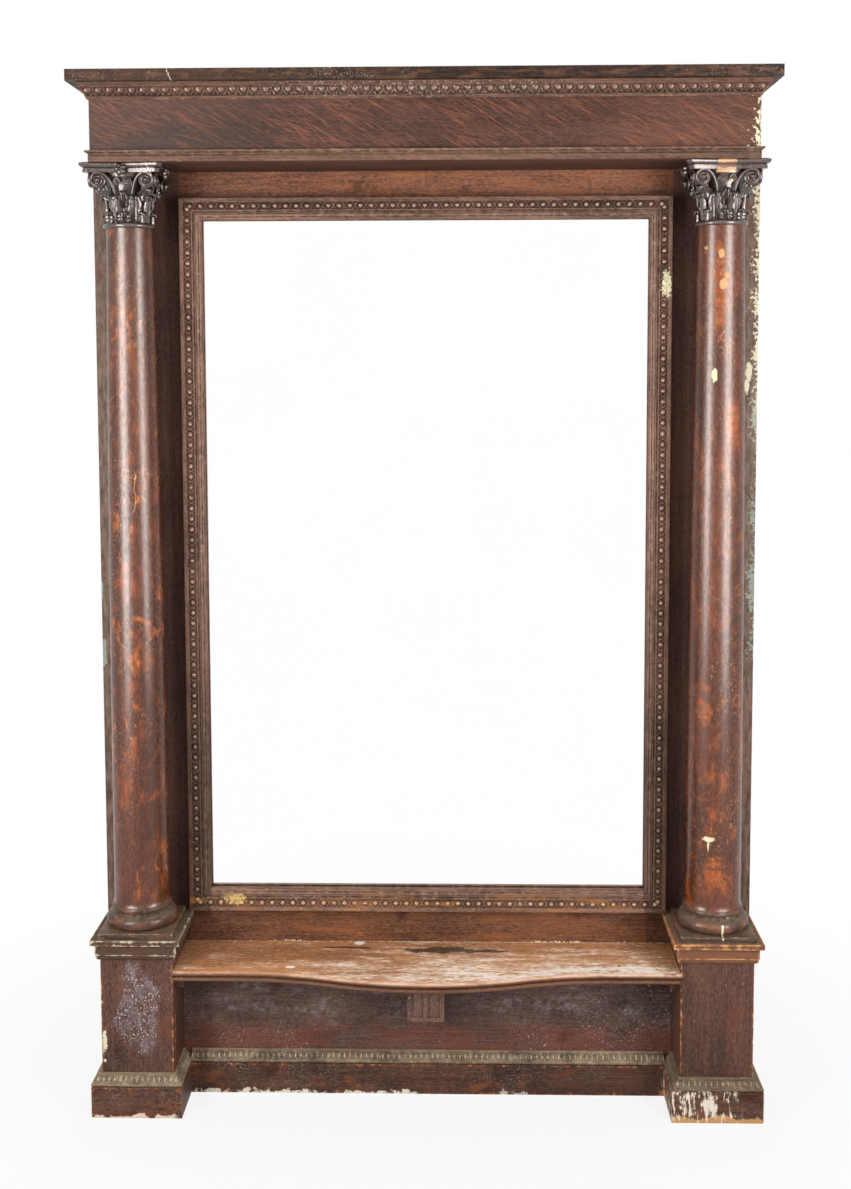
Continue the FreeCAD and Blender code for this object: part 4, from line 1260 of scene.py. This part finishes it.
frame_low = corners("frame_moulding_bottom")[0]
top_low, frame_high = corners("frame_moulding_top")
section = outline(frame_high[2] - top_low[2], face_y - frame_low[1], frame_legs)
for side, (start, along, length, inward) in frame_sides(frame_low, frame_high).items():
    shell = Shell()
    carried(shell, section, start, along, length, inward, FORWARD, (-1, -1), frame_eggs)
    shell.piece("frame_moulding_" + side, "carved", frame_oak, "carved_oak")

slip_low, slip_high = corners("sight_slips")
section = outline(slip_width, face_y - slip_low[1], slip_legs)
shell = Shell()
for start, along, length, inward in frame_sides(slip_low, slip_high).values():
    carried(shell, section, start, along, length, inward, FORWARD, (-1, -1))
shell.piece("sight_slips", "planed", frame_oak, "case_oak")

# %% [markdown]
# The entablature's mouldings go round three sides of the frieze: a front length and two returns to
# the wall. Their outer corners lengthen each run by as much as the section stands out. The crown is
# a flat band over a carved round, a bead and a fillet. The architrave is a lip, undercut, over a
# bead, a step and a flat band.

# %% Crown and architrave
crown_eggs = (0.0223, 0.0056, 0.33, 0.25)
crown_legs = (
    leg(0, 1), leg(1, 1), leg(1, 0.72, steps=3), leg(0.93, 0.70, 0.0),
    leg(0.34, 0.22, CARVED, 18, -0.0016), leg(0.34, 0.17, 0.1), leg(0.26, 0.06, 0.3, 5, -0.0009),
    leg(0.12, 0.06), leg(0.12, 0, 0.6))
architrave_legs = (
    leg(0, 1), leg(0.94, 1), leg(1, 0.97, 0.6), leg(1, 0.84), leg(0.45, 0.81, 0.0),
    leg(0.45, 0.74, 0.1), leg(0.45, 0.60, 0.5, 5, -0.0012), leg(0.36, 0.58, 0.0),
    leg(0.36, 0.52, 0.1), leg(0.36, 0, steps=3))


def round_three_sides(section, low, high, z, depths, eggs=no_eggs):
    """A front length and a left and a right return, mitred at the front corners of a box."""
    shell = Shell()
    left = np.array([low[0], low[1], z])
    right = np.array([high[0], low[1], z])
    carried(shell, section, left, RIGHT, high[0] - low[0], FORWARD, UP, (1, 1), eggs)
    carried(shell, section, left, -FORWARD, depths[0], -RIGHT, UP, (1, 0), eggs)
    carried(shell, section, right, -FORWARD, depths[1], RIGHT, UP, (1, 0), eggs)
    return shell


frieze_low, frieze_high = corners("frieze_board")
frieze_depths = (face_y - frieze_low[1],) * 2
for node, manner, legs, eggs, slot in (
        ("crown_moulding", "carved", crown_legs, crown_eggs, "carved_oak"),
        ("architrave_moulding", "run", architrave_legs, no_eggs, "case_oak")):
    low, high = corners(node)
    section = outline(high[0] - frieze_high[0], high[2] - low[2], legs)
    shell = round_three_sides(section, frieze_low, frieze_high, low[2], frieze_depths, eggs)
    shell.piece(node, manner, crown_oak, slot)

# %% [markdown]
# Each pedestal has a cap moulding, a carved base moulding and a plinth round three sides. The inner
# returns of the lower two stop at the apron. The board under the shelf has the same base and plinth,
# in one straight run without corners.

# %% Pedestal and apron mouldings
small_eggs = (0.0120, 0.0023, 0.3, 0.0)
cap_legs = (
    leg(0, 1), leg(1, 1), leg(1, 0.36, steps=5), leg(0.88, 0.33), leg(0.86, 0.25),
    leg(0.12, 0, 0.5, 6, 0.0016))
base_legs = (
    leg(0, 1), leg(0.28, 1), leg(0.31, 0.9), leg(0.93, 0.18, CARVED, 14, -0.0012),
    leg(1, 0.15), leg(1, 0))
plinth_legs = (
    leg(0, 1), leg(0.8, 1), leg(1, 0.95, 0.5, 5, -0.0011), leg(1, 0.02, steps=4), leg(0.95, 0))

apron_y = corners("apron_board")[0][1]
plinth_low, plinth_high = corners("plinth_board")
for hand, side in hands.items():
    die_low, die_high = corners(hand + "pedestal_front")
    outer = face_y - die_low[1]
    inner = apron_y - die_low[1]
    to_wall = (outer, outer)
    to_apron = (outer, inner) if side < 0 else (inner, outer)
    cap_low, cap_high = corners(hand + "cap_moulding")
    cap_seat = corners(hand + "pedestal_cap")[1][2] - cap_lip_height
    section = outline(cap_high[0] - die_high[0], cap_seat - cap_low[2], cap_legs)
    shell = round_three_sides(section, die_low, die_high, cap_low[2], to_wall)
    shell.piece(hand + "cap_moulding", "run", cap_oak, "case_oak")
    base_low, base_high = corners(hand + "pedestal_moulding")
    width = base_high[0] - die_high[0]
    section = outline(width, base_high[2] - base_low[2], base_legs)
    shell = round_three_sides(section, die_low, die_high, base_low[2], to_apron, small_eggs)
    shell.piece(hand + "pedestal_moulding", "carved", base_moulding_oak, "carved_oak")
    section = outline(width, plinth_high[2], plinth_legs)
    shell = round_three_sides(section, die_low, die_high, 0.0, to_apron)
    shell.piece(hand + "pedestal_plinth", "worn", plinth_oak, "case_oak")

run_start = np.array([plinth_low[0], apron_y, 0.0])
run_length = plinth_high[0] - plinth_low[0]
run_width = apron_y - plinth_low[1]
base_low, base_high = corners("apron_moulding")
shell = Shell()
section = outline(run_width, plinth_high[2], plinth_legs)
carried(shell, section, run_start, RIGHT, run_length, FORWARD, UP, (0, 0))
shell.piece("plinth_board", "worn", plinth_oak, "case_oak")
shell = Shell()
section = outline(run_width, base_high[2] - base_low[2], base_legs)
run_start = run_start + base_low[2] * UP
carried(shell, section, run_start, RIGHT, run_length, FORWARD, UP, (0, 0), small_eggs)
shell.piece("apron_moulding", "carved", base_moulding_oak, "carved_oak")

# %% [markdown]
# ## Turned columns
#
# A lathe makes a shape whose every section is a circle, so one outline of radius against height
# is enough. The shaft swells a little below and narrows towards the top. A straight taper would look
# pinched, so it is a curve through three measured radii.

# %% Turned outlines
turn_steps = 128
foot_height = 0.012
foot_flare = 0.0025
foot_steps = 5
shaft_steps = 40
shaft_radii = (0.0583, 0.0546, 0.0479)
shaft_waist = 0.6
torus_steps = 13
torus_roundness = 0.85
torus_share = 0.98


def turned(axis, profile, crest=0.5):
    """A surface of revolution: each (radius, height) goes round the upright axis."""
    angle = np.linspace(-np.pi, np.pi, turn_steps, endpoint=False)
    radius, height = np.asarray(profile).T[:, :, None]
    points = np.stack(np.broadcast_arrays(
        axis[0] + radius * np.sin(angle), axis[1] - radius * np.cos(angle), height), axis=-1)
    shell = Shell()
    crest = np.reshape(crest, (-1, 1))
    shell.grid(points, ring=True, caps=True, grain=points[..., [2, 0, 1]], crest=crest)
    return shell


def shaft_profile(low, high):
    """A flared foot, then the parabola through three radii: each radius times the factors that are
    0 at the other two heights and together 1 at its own."""
    foot = np.linspace(0, 1, foot_steps, endpoint=False)
    flare = shaft_radii[0] + foot_flare * (1 - foot) ** 2
    t = np.linspace(foot_height / (high - low), 1, shaft_steps)
    radius = (shaft_radii[0] * (t - shaft_waist) * (t - 1) / shaft_waist
              + shaft_radii[1] * t * (t - 1) / (shaft_waist * (shaft_waist - 1))
              + shaft_radii[2] * t * (t - shaft_waist) / (1 - shaft_waist))
    return np.concatenate([
        np.stack([flare, low + foot_height * foot], axis=-1),
        np.stack([radius, low + (high - low) * t], axis=-1)])


def half_round(radius, low, height):
    """A torus edge: an arc that stands out to the radius half way up."""
    t = np.linspace(-1, 1, torus_steps)
    inset = torus_roundness * height / 2 * (1 - np.sqrt(1 - (torus_share * t) ** 2))
    return np.stack([radius - inset, low + height * (t + 1) / 2], axis=-1)


print("shaft's outline", len(shaft_profile(0.0, 1.0)), "points, turned in", turn_steps, "steps")

# %% [markdown]
# The base is a big round, a hollow and a small round, each a radius and a height. The values that
# its points keep fall to 0 in the hollow, where the finish lays dust. A ring closes the shaft under
# the capital.

# %% Shafts, bases and necking rings
lower_torus = (0.075, 0.027)
scotia = (0.0575, 0.007)
scotia_flare = 0.003
scotia_corner = 0.002
upper_torus = (0.0635, 0.013)
hollow_first = 10
hollow_crests = (0.7, 0.3, 0.0, 0.0, 0.0, 0.0, 0.3, 0.7)
necking_radius = 0.0545


def base_profile(low):
    """Radius and height from the lower round, through the hollow, to the upper round."""
    scotia_low = low + lower_torus[1]
    upper_low = scotia_low + scotia[1]
    hollow = [(scotia[0] + scotia_flare, scotia_low), (scotia[0], scotia_low + scotia_corner),
              (scotia[0], upper_low)]
    return np.concatenate([
        half_round(lower_torus[0], low, lower_torus[1]), hollow,
        half_round(upper_torus[0], upper_low, upper_torus[1])])


column_axes = {}
for hand in hands:
    low, high = corners(hand + "column_shaft")
    axis = (low + high) / 2
    column_axes[hand] = axis
    shaft = turned(axis, shaft_profile(low[2], high[2]))
    shaft.piece(hand + "column_shaft", "turned", column_oak, "column_oak")
    profile = base_profile(corners(hand + "column_base")[0][2])
    crest = np.ones(len(profile))
    crest[hollow_first:hollow_first + len(hollow_crests)] = hollow_crests
    base = turned(axis, profile, crest)
    base.piece(hand + "column_base", "turned", column_base_oak, "column_oak")
    low, high = corners(hand + "necking_ring")
    ring = turned(axis, half_round(necking_radius, low[2], high[2] - low[2]))
    ring.piece(hand + "necking_ring", "turned", capital_varnish, "capital_ornament")

# %% [markdown]
# ## Carved capitals
#
# A capital is a bell with two tiers of leaves, scrolls at its corners and a hollow-sided slab on
# top. The leaves could be sculpted, but a carver cuts them all to one pattern. So a leaf is a strip
# that climbs the bell and curls over at its tip; its edge is cut into lobes and its face is fluted.

# %% Bell and leaves
bell_radius = 0.043
bell_lip_radius = 0.060
bell_steps = 24
leaf_steps = 30
leaf_columns = 25
leaf_bend = 0.66
leaf_curl = np.radians(225)
leaf_stand = 0.0015
leaf_thickness = 0.0034
leaf_lobes = 3
rib_height = 0.0022
flute_height = 0.0012
lift_height = 0.0026


def on_axis(axis, z):
    """The point of an upright axis at a height."""
    return np.array([axis[0], axis[1], z])


def bell_profile(low, height):
    """Straight to half way, then a flare like a trumpet up to the lip."""
    t = np.linspace(0, 1, bell_steps)
    flare = np.clip((t - 0.5) / 0.45, 0, 1) ** 2.2
    radius = bell_radius + (bell_lip_radius - bell_radius) * flare
    return np.stack([radius, low + height * t], axis=-1)


def leaf(shell, axis, turn, foot, height, half_width, curl_radius, lean, start):
    """A leaf on the bell. Its spine rises by height while it leans out, then turns through the
    curl on an arc; the width swells, narrows to the tip and is notched into lobes; the face has a
    rib and upright flutes that fade towards the tip, and edges that lift."""
    v = np.linspace(0, 1, leaf_steps)[:, None]
    u = np.linspace(-1, 1, leaf_columns)[None, :]
    rise = np.clip(v / leaf_bend, 0, 1)
    curl = np.clip((v - leaf_bend) / (1 - leaf_bend), 0, 1) * leaf_curl
    spine = start + leaf_stand + lean * rise ** 2 + curl_radius * (1 - np.cos(curl))
    level = foot + height * rise + curl_radius * np.sin(curl)
    lobe = 0.5 + 0.5 * np.cos(2 * np.pi * (leaf_lobes * v + 0.5))
    width = half_width * (0.80 + 0.2 * np.sin(np.pi * v ** 0.8)) * (1 - 0.62 * v ** 3)
    width = width * (1 - 0.2 * (1 - lobe) ** 2)
    rib = rib_height * np.exp(-(u / 0.13) ** 2)
    flute = flute_height * np.cos(4 * np.pi * u) * (1 - v ** 3)
    lift = lift_height * u ** 4 * (0.3 + 0.7 * lobe)
    relief = rib + flute + lift
    crest = np.clip((relief + 0.0014) / 0.0045, 0, 1)
    angle = turn + u * width / (start + 0.006)
    sides = []
    for offset in (relief, relief - leaf_thickness):
        radius = spine + np.cos(curl) * offset
        sides.append(np.stack([
            axis[0] + radius * np.sin(angle), axis[1] - radius * np.cos(angle),
            level - np.sin(curl) * offset], axis=-1))
    around = np.concatenate([sides[0], sides[1][:, ::-1]], axis=1)
    shell.grid(around, ring=True, caps=True, crest=np.concatenate([crest, 0 * crest], axis=1))


print("leaf", leaf_steps, "by", leaf_columns, "points on each side")

# %% [markdown]
# The eye of a scroll and the flowers on the slab are domes on an upright face. A ball pressed flat
# would do for the eye. The flower needs petals, so both are grids of rings round a centre, and the
# flower's rings swell five times on their way round.

# %% Domes and flowers
petal_count = 5


def on_face(centre, outward, face, reach, turn, stand):
    """Points about a centre: reach (cos(turn) outward + sin(turn) up) + stand face."""
    across = (reach * np.cos(turn))[..., None] * outward
    upwards = (reach * np.sin(turn))[..., None] * UP
    return centre + across + upwards + (stand + 0 * turn)[..., None] * face


def button(shell, centre, outward, face, radius, height):
    """A dome on a flat back: radius cos(a), height sin(a)."""
    a = np.linspace(0, np.pi / 2, 8)[:, None]
    b = np.linspace(0, 2 * np.pi, 24, endpoint=False)[None, :]
    points = on_face(centre, outward, face, radius * np.cos(a), b, height * np.sin(a))
    shell.grid(points, ring=True, caps=True, crest=np.sin(a))


def rosette(shell, centre, outward, face, radius, height):
    """A flower: a dome whose rim and height swell in petals round a bud, and fall to 0 at the
    rim."""
    r = np.linspace(1, 0, 14)[:, None]
    b = np.linspace(0, 2 * np.pi, 60, endpoint=False)[None, :]
    petal = np.abs(np.cos(petal_count / 2 * b))
    reach = radius * r * (0.78 + 0.22 * petal)
    swell = 0.55 * np.sin(np.pi * r) * (0.5 + 0.5 * petal)
    bud = 0.75 * np.exp(-(r / 0.25) ** 2)
    level = height * (0.25 + swell + bud) * (1 - r ** 12)
    points = on_face(centre, outward, face, reach, b, level)
    shell.grid(points, ring=True, caps=True, crest=np.clip(level / height, 0, 1))


# %% [markdown]
# A scroll is a band that climbs from the bell and winds up in a spiral, whose radius shrinks by the
# same share in each turn: radius = outer exp(-k angle). A curve with a round bevel could follow it,
# but it would stay as thick all the way. The band is an oval tube along that path, thinner as it
# winds in. A dome is its eye, and a flat one behind keeps daylight from showing between the turns.

# %% Scrolls
scroll_turns = 2.2
scroll_steps = 96
scroll_shrink = 5.5
scroll_stand = 0.0035
spiral_share = 0.8
stalk_steps = 19
stalk_bend = 1.3
tube_steps = 12
stalk_half_widths = (0.14, 0.20)
stalk_half_depths = (0.16, 0.24)
tip_half_depth = 0.14
least_half_width = 0.0004
# Domes of a scroll: how far the seat stands out in metres, then radius and height as shares.
scroll_eye = (0.002, 0.24, 0.30)
scroll_back = (-0.005, 0.85, 0.28)


def tube(shell, path, side, out, half_width, half_depth):
    """An oval tube: path + half_width cos(a) side + half_depth sin(a) out."""
    a = np.linspace(0, 2 * np.pi, tube_steps, endpoint=False)
    across = (half_width[:, None] * np.cos(a))[..., None] * side[:, None, :]
    depth = (half_depth[:, None] * np.sin(a))[..., None] * out
    crest = np.clip(np.sin(a), 0, 1)
    shell.grid(path[:, None, :] + across + depth, ring=True, caps=True, crest=crest)


def scroll(shell, centre, outward, face, radius, root):
    """A stalk from the bell, over the top and down into a spiral that stands out to its eye."""
    last = 2 * np.pi * scroll_turns
    angle = np.linspace(0, last, scroll_steps)[:, None]
    shrink = radius * spiral_share * np.exp(-angle * np.log(scroll_shrink) / last)
    spiral = centre + shrink * (np.sin(angle) * outward + np.cos(angle) * UP)
    spiral = spiral + face * scroll_stand * angle / last
    t = np.linspace(0, 1, stalk_steps, endpoint=False)[:, None]
    bend = spiral[0] - outward * radius * stalk_bend
    stalk = (1 - t) ** 2 * root + 2 * t * (1 - t) * bend + t ** 2 * spiral[0]
    path = np.concatenate([stalk, spiral])
    side = np.cross(np.gradient(path, axis=0), face)
    side /= np.linalg.norm(side, axis=-1, keepdims=True)
    spiral_width = stalk_half_widths[1] * shrink[:, 0] / spiral_share + least_half_width
    half_width = np.concatenate([
        np.linspace(*stalk_half_widths, stalk_steps) * radius, spiral_width])
    half_depth = radius * np.concatenate([
        np.linspace(*stalk_half_depths, stalk_steps),
        np.linspace(stalk_half_depths[1], tip_half_depth, scroll_steps)])
    tube(shell, path, side, face, half_width, half_depth)
    for stand, reach, height in (scroll_eye, scroll_back):
        button(shell, centre + face * stand, outward, face, reach * radius, height * radius)


# %% [markdown]
# The slab on top, the abacus, has four hollow sides and cut corners. One side of its plan is a
# curve, turned four times. The plan is scaled in and out by the height's own section: a flat band, a
# groove, a hollow and a rounded top edge.

# %% Abacus
abacus_half = 0.085
abacus_hollow = 0.010
horn_share = 0.108
abacus_side_steps = 25
abacus_insets = np.array([
    6.5, 6.5, 6.5, 8.0, 8.0, 6.8, 5.0, 3.2, 1.8, 1.6, 0.6, 0.1, 0.0, 0.5, 1.6]) * 0.001
abacus_levels = np.array([
    0.0, 0.1, 0.36, 0.37, 0.42, 0.46, 0.50, 0.56, 0.64, 0.66, 0.72, 0.8, 0.88, 0.96, 1.0])


def abacus(axis, low, high):
    """Plan points times a scale for each level. A side is y = -1 + hollow (1 - (x / end)^2)."""
    end = 1 - horn_share
    x = np.linspace(-end, end, abacus_side_steps)
    front = np.stack([x, -1 + abacus_hollow / abacus_half * (1 - (x / end) ** 2)], axis=-1)
    turns = [np.array([[c, -s], [s, c]]) for c, s in ((1, 0), (0, 1), (-1, 0), (0, -1))]
    plan = np.concatenate([front @ turn.T for turn in turns]) * abacus_half
    inset = abacus_insets / abacus_half
    flat = plan[None] * (1 - inset)[:, None, None]
    level = np.broadcast_to((low + (high - low) * abacus_levels)[:, None], flat.shape[:2])
    points = np.stack([axis[0] + flat[..., 0], axis[1] + flat[..., 1], level], axis=-1)
    shell = Shell()
    shell.grid(points, ring=True, caps=True, crest=(1 - inset * 10)[:, None])
    return shell


print("abacus", 2 * abacus_half, "m across, on", len(abacus_levels), "levels")

# %% [markdown]
# Now the pieces are set round the bell, four sides to a capital. Each side has a pair of corner
# scrolls and a pair of small inner ones that start from the same roots. One side could be made and
# copied, but with the direction of the side as a value, each is worked out where it stands.

# %% Leaves and scrolls round the bell
# Leaves: share of a step to turn by, foot, height, half width, curl, lean, start past the bell.
lower_leaves = ((0.0, 0.0, 0.018, 0.0150, 0.0026, 0.0005, 0.003),
                (0.5, 0.0, 0.050, 0.0180, 0.0042, 0.0040, 0.0))
upper_leaves = ((0.0, 0.030, 0.028, 0.0105, 0.0040, 0.006, 0.002),
                (0.5, 0.044, 0.022, 0.0150, 0.0046, 0.018, 0.002))
leaf_tiers = ((8, lower_leaves), (4, upper_leaves))
volute_radius = 0.0195
volute_drop = 0.0150
volute_out = 0.0495
volute_front = 0.0655
root_rise = 0.05
root_out = 0.016
root_front = 0.046
helix_radius = 0.0085
helix_drop = 0.002
helix_out = 0.0115
helix_front = 0.060


def facing(quarter):
    """The direction of a capital's side: 0 is the front, and each quarter turns to the right."""
    angle = quarter * np.pi / 2
    return np.array([np.sin(angle), -np.cos(angle), 0])


def all_leaves(axis, low):
    """The tiers of leaves, evenly spread round the bell."""
    shell = Shell()
    for count, kinds in leaf_tiers:
        for index in range(count):
            for share, foot, *shape, start in kinds:
                turn = (index + share) * 2 * np.pi / count
                leaf(shell, axis, turn, low + foot, *shape, bell_radius + start)
    return shell


def all_scrolls(axis, low, high):
    """A corner scroll and an inner scroll at both ends of each side."""
    shell = Shell()
    middle = on_axis(axis, high - volute_drop)
    for quarter in range(4):
        face = facing(quarter)
        for outward in (-np.cross(face, UP), np.cross(face, UP)):
            root = on_axis(axis, low + root_rise) + outward * root_out + face * root_front
            centre = middle + outward * volute_out + face * volute_front
            scroll(shell, centre, outward, face, volute_radius, root)
            helix = middle + outward * helix_out + face * helix_front - UP * helix_drop
            scroll(shell, helix, -outward, face, helix_radius, root)
    return shell


# %% [markdown]
# Both capitals are put together from these. A flower sits on each side of the slab that shows, but
# the right capital goes without one in front, where the real one has lost it.

# %% Both capitals
flower_radius = 0.014
flower_depth = 0.009
flower_sides = {"left_": (0, 1, 3), "right_": (1, 3)}
flowers = Shell()
for hand in hands:
    axis = column_axes[hand]
    low, high = corners(hand + "capital_bell")
    slab_low, slab_high = corners(hand + "abacus")
    parts = {
        ("capital_bell", "turned"): turned(axis, bell_profile(low[2], high[2] - low[2])),
        ("capital_leaves", "carved"): all_leaves(axis, low[2]),
        ("capital_volutes", "carved"): all_scrolls(axis, low[2], high[2]),
        ("abacus", "carved"): abacus(axis, slab_low[2], slab_high[2])}
    for (part, manner), shell in parts.items():
        shell.piece(hand + part, manner, capital_varnish, "capital_ornament")
    for quarter in flower_sides[hand]:
        face = facing(quarter)
        seat = on_axis(axis, slab_high[2] - flower_radius) + face * (abacus_half - abacus_hollow)
        rosette(flowers, seat, np.cross(face, UP), face, flower_radius, flower_depth)
flowers.piece("abacus_flowers", "carved", capital_varnish, "capital_ornament")

# %% [markdown]
# ## The bow-fronted shelf
#
# The front runs straight at both ends, swings out on a hollow arc and bows on a round one. A curve
# with handles could follow it, but two arcs of one radius that meet in line give the joiner's own
# shape. Every column of the grid is one place across; its points follow the section of the edge from
# the back of the top, round the nosing, to the back of the underside.

# %% Shelf
shelf_end = 0.163
shelf_straight = 0.140
shelf_columns = 161
nosing_inset = 0.0052
nosing_level = 0.772
bead_inset = 0.0065
bead_swell = 0.004
edge_share = 0.97
edge_reach = 0.03
wobble_depth = 0.0005
wobble_pitch = 0.11
wobble_seed = 5
back_shares = np.array([0.0, 0.05, 0.15, 0.3, 0.45, 0.6, 0.72, 0.82, 0.9, 0.96])


def shelf_front(x, half, centre):
    """Distance of the edge from the back: straight, a hollow arc, then a bow, joined in line."""
    swing = centre - shelf_end
    span = half - shelf_straight
    radius = (span ** 2 + swing ** 2) / (4 * swing)
    reach = np.abs(x)
    hollow = shelf_end + radius - np.sqrt(radius ** 2 - np.clip(span - reach, 0, radius) ** 2)
    bow = centre - radius + np.sqrt(radius ** 2 - np.clip(reach, 0, radius) ** 2)
    return np.where(reach >= span, shelf_end, np.where(reach >= span / 2, hollow, bow))


def shelf_edge():
    """Inset and level of the edge from above: a half-round nosing, a groove and a lower bead."""
    nose = np.linspace(np.pi / 2, -np.pi / 2, 9)
    bead = np.sin(np.linspace(0, np.pi, 7))
    inset = np.concatenate([
        [0.012, 0.007], nosing_inset * (1 - np.cos(nose)), [0.0058, 0.0060, 0.0044],
        bead_inset - bead_swell * bead, [0.012]])
    level = np.concatenate([
        [1.0, 1.0], nosing_level + (1 - nosing_level) * np.sin(nose), [0.535, 0.42, 0.40],
        np.linspace(0.37, 0.0, 7), [0.0]])
    return inset, level


def shelf_board(low, high):
    """Rows of points across: (x, back - depth, bottom + thickness level), with a slight wobble of
    the worn edge."""
    x = np.linspace(-high[0], high[0], shelf_columns)
    front = shelf_front(x, high[0], face_y - low[1])[:, None]
    inset, edge_level = shelf_edge()
    back = (front - inset[0]) * back_shares
    depth = np.concatenate([back, front - inset, back[:, ::-1]], axis=1)
    level = np.concatenate([np.ones(len(back_shares)), edge_level, np.zeros(len(back_shares))])
    line = x[:, None] * RIGHT
    wobble = wobble_depth * np.abs(ripple(line, wobble_pitch, wobble_seed))[:, None]
    y = face_y - depth + np.where(depth > front * edge_share, wobble, 0)
    points = np.stack(np.broadcast_arrays(
        x[:, None], y, low[2] + (high[2] - low[2]) * level), axis=-1)
    shell = Shell()
    edge = np.clip(1 - np.abs(depth - front) / edge_reach, 0, 1)
    shell.grid(points, ring=True, caps=True, edge=edge)
    return shell


shelf_board(*corners("shelf_board")).piece("shelf_board", "worn", shelf_oak, "shelf_oak")

# %% [markdown]
# ## Stage, light and camera
#
# The piece stands on a pale floor in a white room. More light would make the room white, but it
# would bleach the wood as well. So the room is white only to rays that end in the camera, a gloss or
# a glass, and what lights the wood is softer. The floor is a little darker close to the piece, and
# keeps its shadow.

# %% Floor and room
room_light = 0.2
white = (1, 1, 1, 1)
floor_tone = (0.86, 0.86, 0.86, 1)
floor_half = 30.0
near_floor = 0.5
far_floor = 1.6
near_white = 0.84


def shows_room(tree):
    """1 for rays that show the room itself: from the camera, off a gloss or through glass."""
    camera_ray = tree.node("ShaderNodeLightPath", output="Is Camera Ray")
    glossy_ray = camera_ray.beside("Is Glossy Ray")
    return camera_ray.greater(glossy_ray).greater(camera_ray.beside("Is Transmission Ray"))


world = bpy.data.worlds.new("white_room")
bpy.context.scene.world = world
room = Tree(world)
lighting = room.node("ShaderNodeBackground", {"Color": white, "Strength": room_light})
shown = room.node("ShaderNodeBackground", {"Color": white, "Strength": 1.0})
mixed = room.node("ShaderNodeMixShader", {0: shows_room(room), 1: lighting, 2: shown})
room.node("ShaderNodeOutputWorld", {"Surface": mixed})

floor_material = bpy.data.materials.new("pale_floor")
coats = Tree(floor_material)
place = coats.node("ShaderNodeTexCoord", output="Object")
fade = coats.node("ShaderNodeMapRange", {
    "Value": coats.vectors("LENGTH", place, output="Value"), "From Min": near_floor,
    "From Max": far_floor, "To Min": near_white, "To Max": 1.0}, interpolation_type="SMOOTHSTEP")
paint = coats.node("ShaderNodeBsdfDiffuse", {"Color": floor_tone})
shine = coats.node("ShaderNodeEmission", {"Strength": 1.0})
mixed = coats.node("ShaderNodeMixShader", {0: shows_room(coats) * fade, 1: paint, 2: shine})
coats.node("ShaderNodeOutputMaterial", {"Surface": mixed})

floor_mesh = bpy.data.meshes.new("floor")
floor_corners = np.array([(-1, -1, 0), (1, -1, 0), (1, 1, 0), (-1, 1, 0)]) * floor_half
floor_mesh.from_pydata(floor_corners.tolist(), [], [(0, 1, 2, 3)])
floor_mesh.materials.append(floor_material)
floor = bpy.data.objects.new("floor", floor_mesh)
bpy.context.scene.collection.objects.link(floor)
print("floor", 2 * floor_half, "m wide, room light", room_light)

# %% [markdown]
# Two tall strips light the piece from the sides, and two wider ones only give the columns their
# upright highlights. One lamp hangs above, and one behind lights the back. One bright lamp would
# give hard shadows, which a studio avoids. The glass would throw the light of each lamp back a second
# time, so all are kept out of it but the one above, whose light it throws on to the shelf.

# %% Lamps
lamp_aside = 1.45
lamp_ahead = -1.45
strip_level = 1.32
sheen_level = 1.47
warm_white = (1.0, 0.9, 0.82)
glass = bpy.data.collections.new("glass")
glass.objects.link(nodes["mirror_plate"])
glass.collection_objects[0].light_linking.link_state = "EXCLUDE"


def softbox(name, place, target, sides, power, sheen_only=False, in_glass=False):
    """A rectangular lamp that faces a point and isn't seen, with its sides in metres and its power
    in watts. It may be for highlights only, and it may be thrown back by the glass."""
    lamp = bpy.data.lights.new(name, "AREA")
    lamp.shape = "RECTANGLE"
    lamp.size, lamp.size_y = sides
    lamp.energy = power
    holder = bpy.data.objects.new(name, lamp)
    holder.location = place
    holder.rotation_euler = (Vector(target) - Vector(place)).to_track_quat("-Z", "Y").to_euler()
    holder.visible_camera = False
    holder.visible_diffuse = not sheen_only
    if not in_glass:
        holder.light_linking.receiver_collection = glass
    bpy.context.scene.collection.objects.link(holder)
    return lamp


for hand, side in hands.items():
    strip_place = (lamp_aside * side, lamp_ahead, strip_level)
    softbox(hand + "softbox", strip_place, (0, 0, strip_level), (0.45, 1.5), 29)
    sheen_place = (lamp_aside * side, lamp_ahead, sheen_level)
    sheen = softbox(hand + "sheen", sheen_place, (0, 0, sheen_level), (0.7, 1.5), 92, True)
    sheen.color = warm_white
top_place = (0.0, -2.2, 3.4)
softbox("top_softbox", top_place, (0, 0, 0.6), (2.0, 1.0), 24, in_glass=True)
back_place = (0.0, 3.0, 2.0)
softbox("back_softbox", back_place, (0, 0, 1.1), (2.0, 1.5), 40)
print("lamps", len(bpy.data.lights))

# %% [markdown]
# The camera could be set by eye, but the edges of the case are straight and square, so its place,
# its lens and its tilt follow from where they lie in the picture. The lens looks at a row above the
# picture's middle, which is the shift.

# %% Camera
photo_height = 1189
focal_pixels = 1411.7
axis_row = 460.1
camera_place = (0.066, -2.956, 1.622)
tilt_degrees = 4.41
roll_degrees = 0.17
turn_degrees = 1.24
camera = bpy.data.cameras.new("camera")
camera.sensor_fit = "AUTO"
camera.sensor_width = 36.0
camera.lens = camera.sensor_width * focal_pixels / photo_height
camera.shift_y = (axis_row - photo_height / 2) / photo_height
holder = bpy.data.objects.new("camera", camera)
holder.location = camera_place
holder.rotation_euler = np.radians([90 - tilt_degrees, roll_degrees, turn_degrees])
bpy.context.scene.collection.objects.link(holder)
bpy.context.scene.camera = holder
bpy.context.scene.view_settings.view_transform = "Standard"
print("lens", round(camera.lens, 2), "mm, shift", round(camera.shift_y, 4))
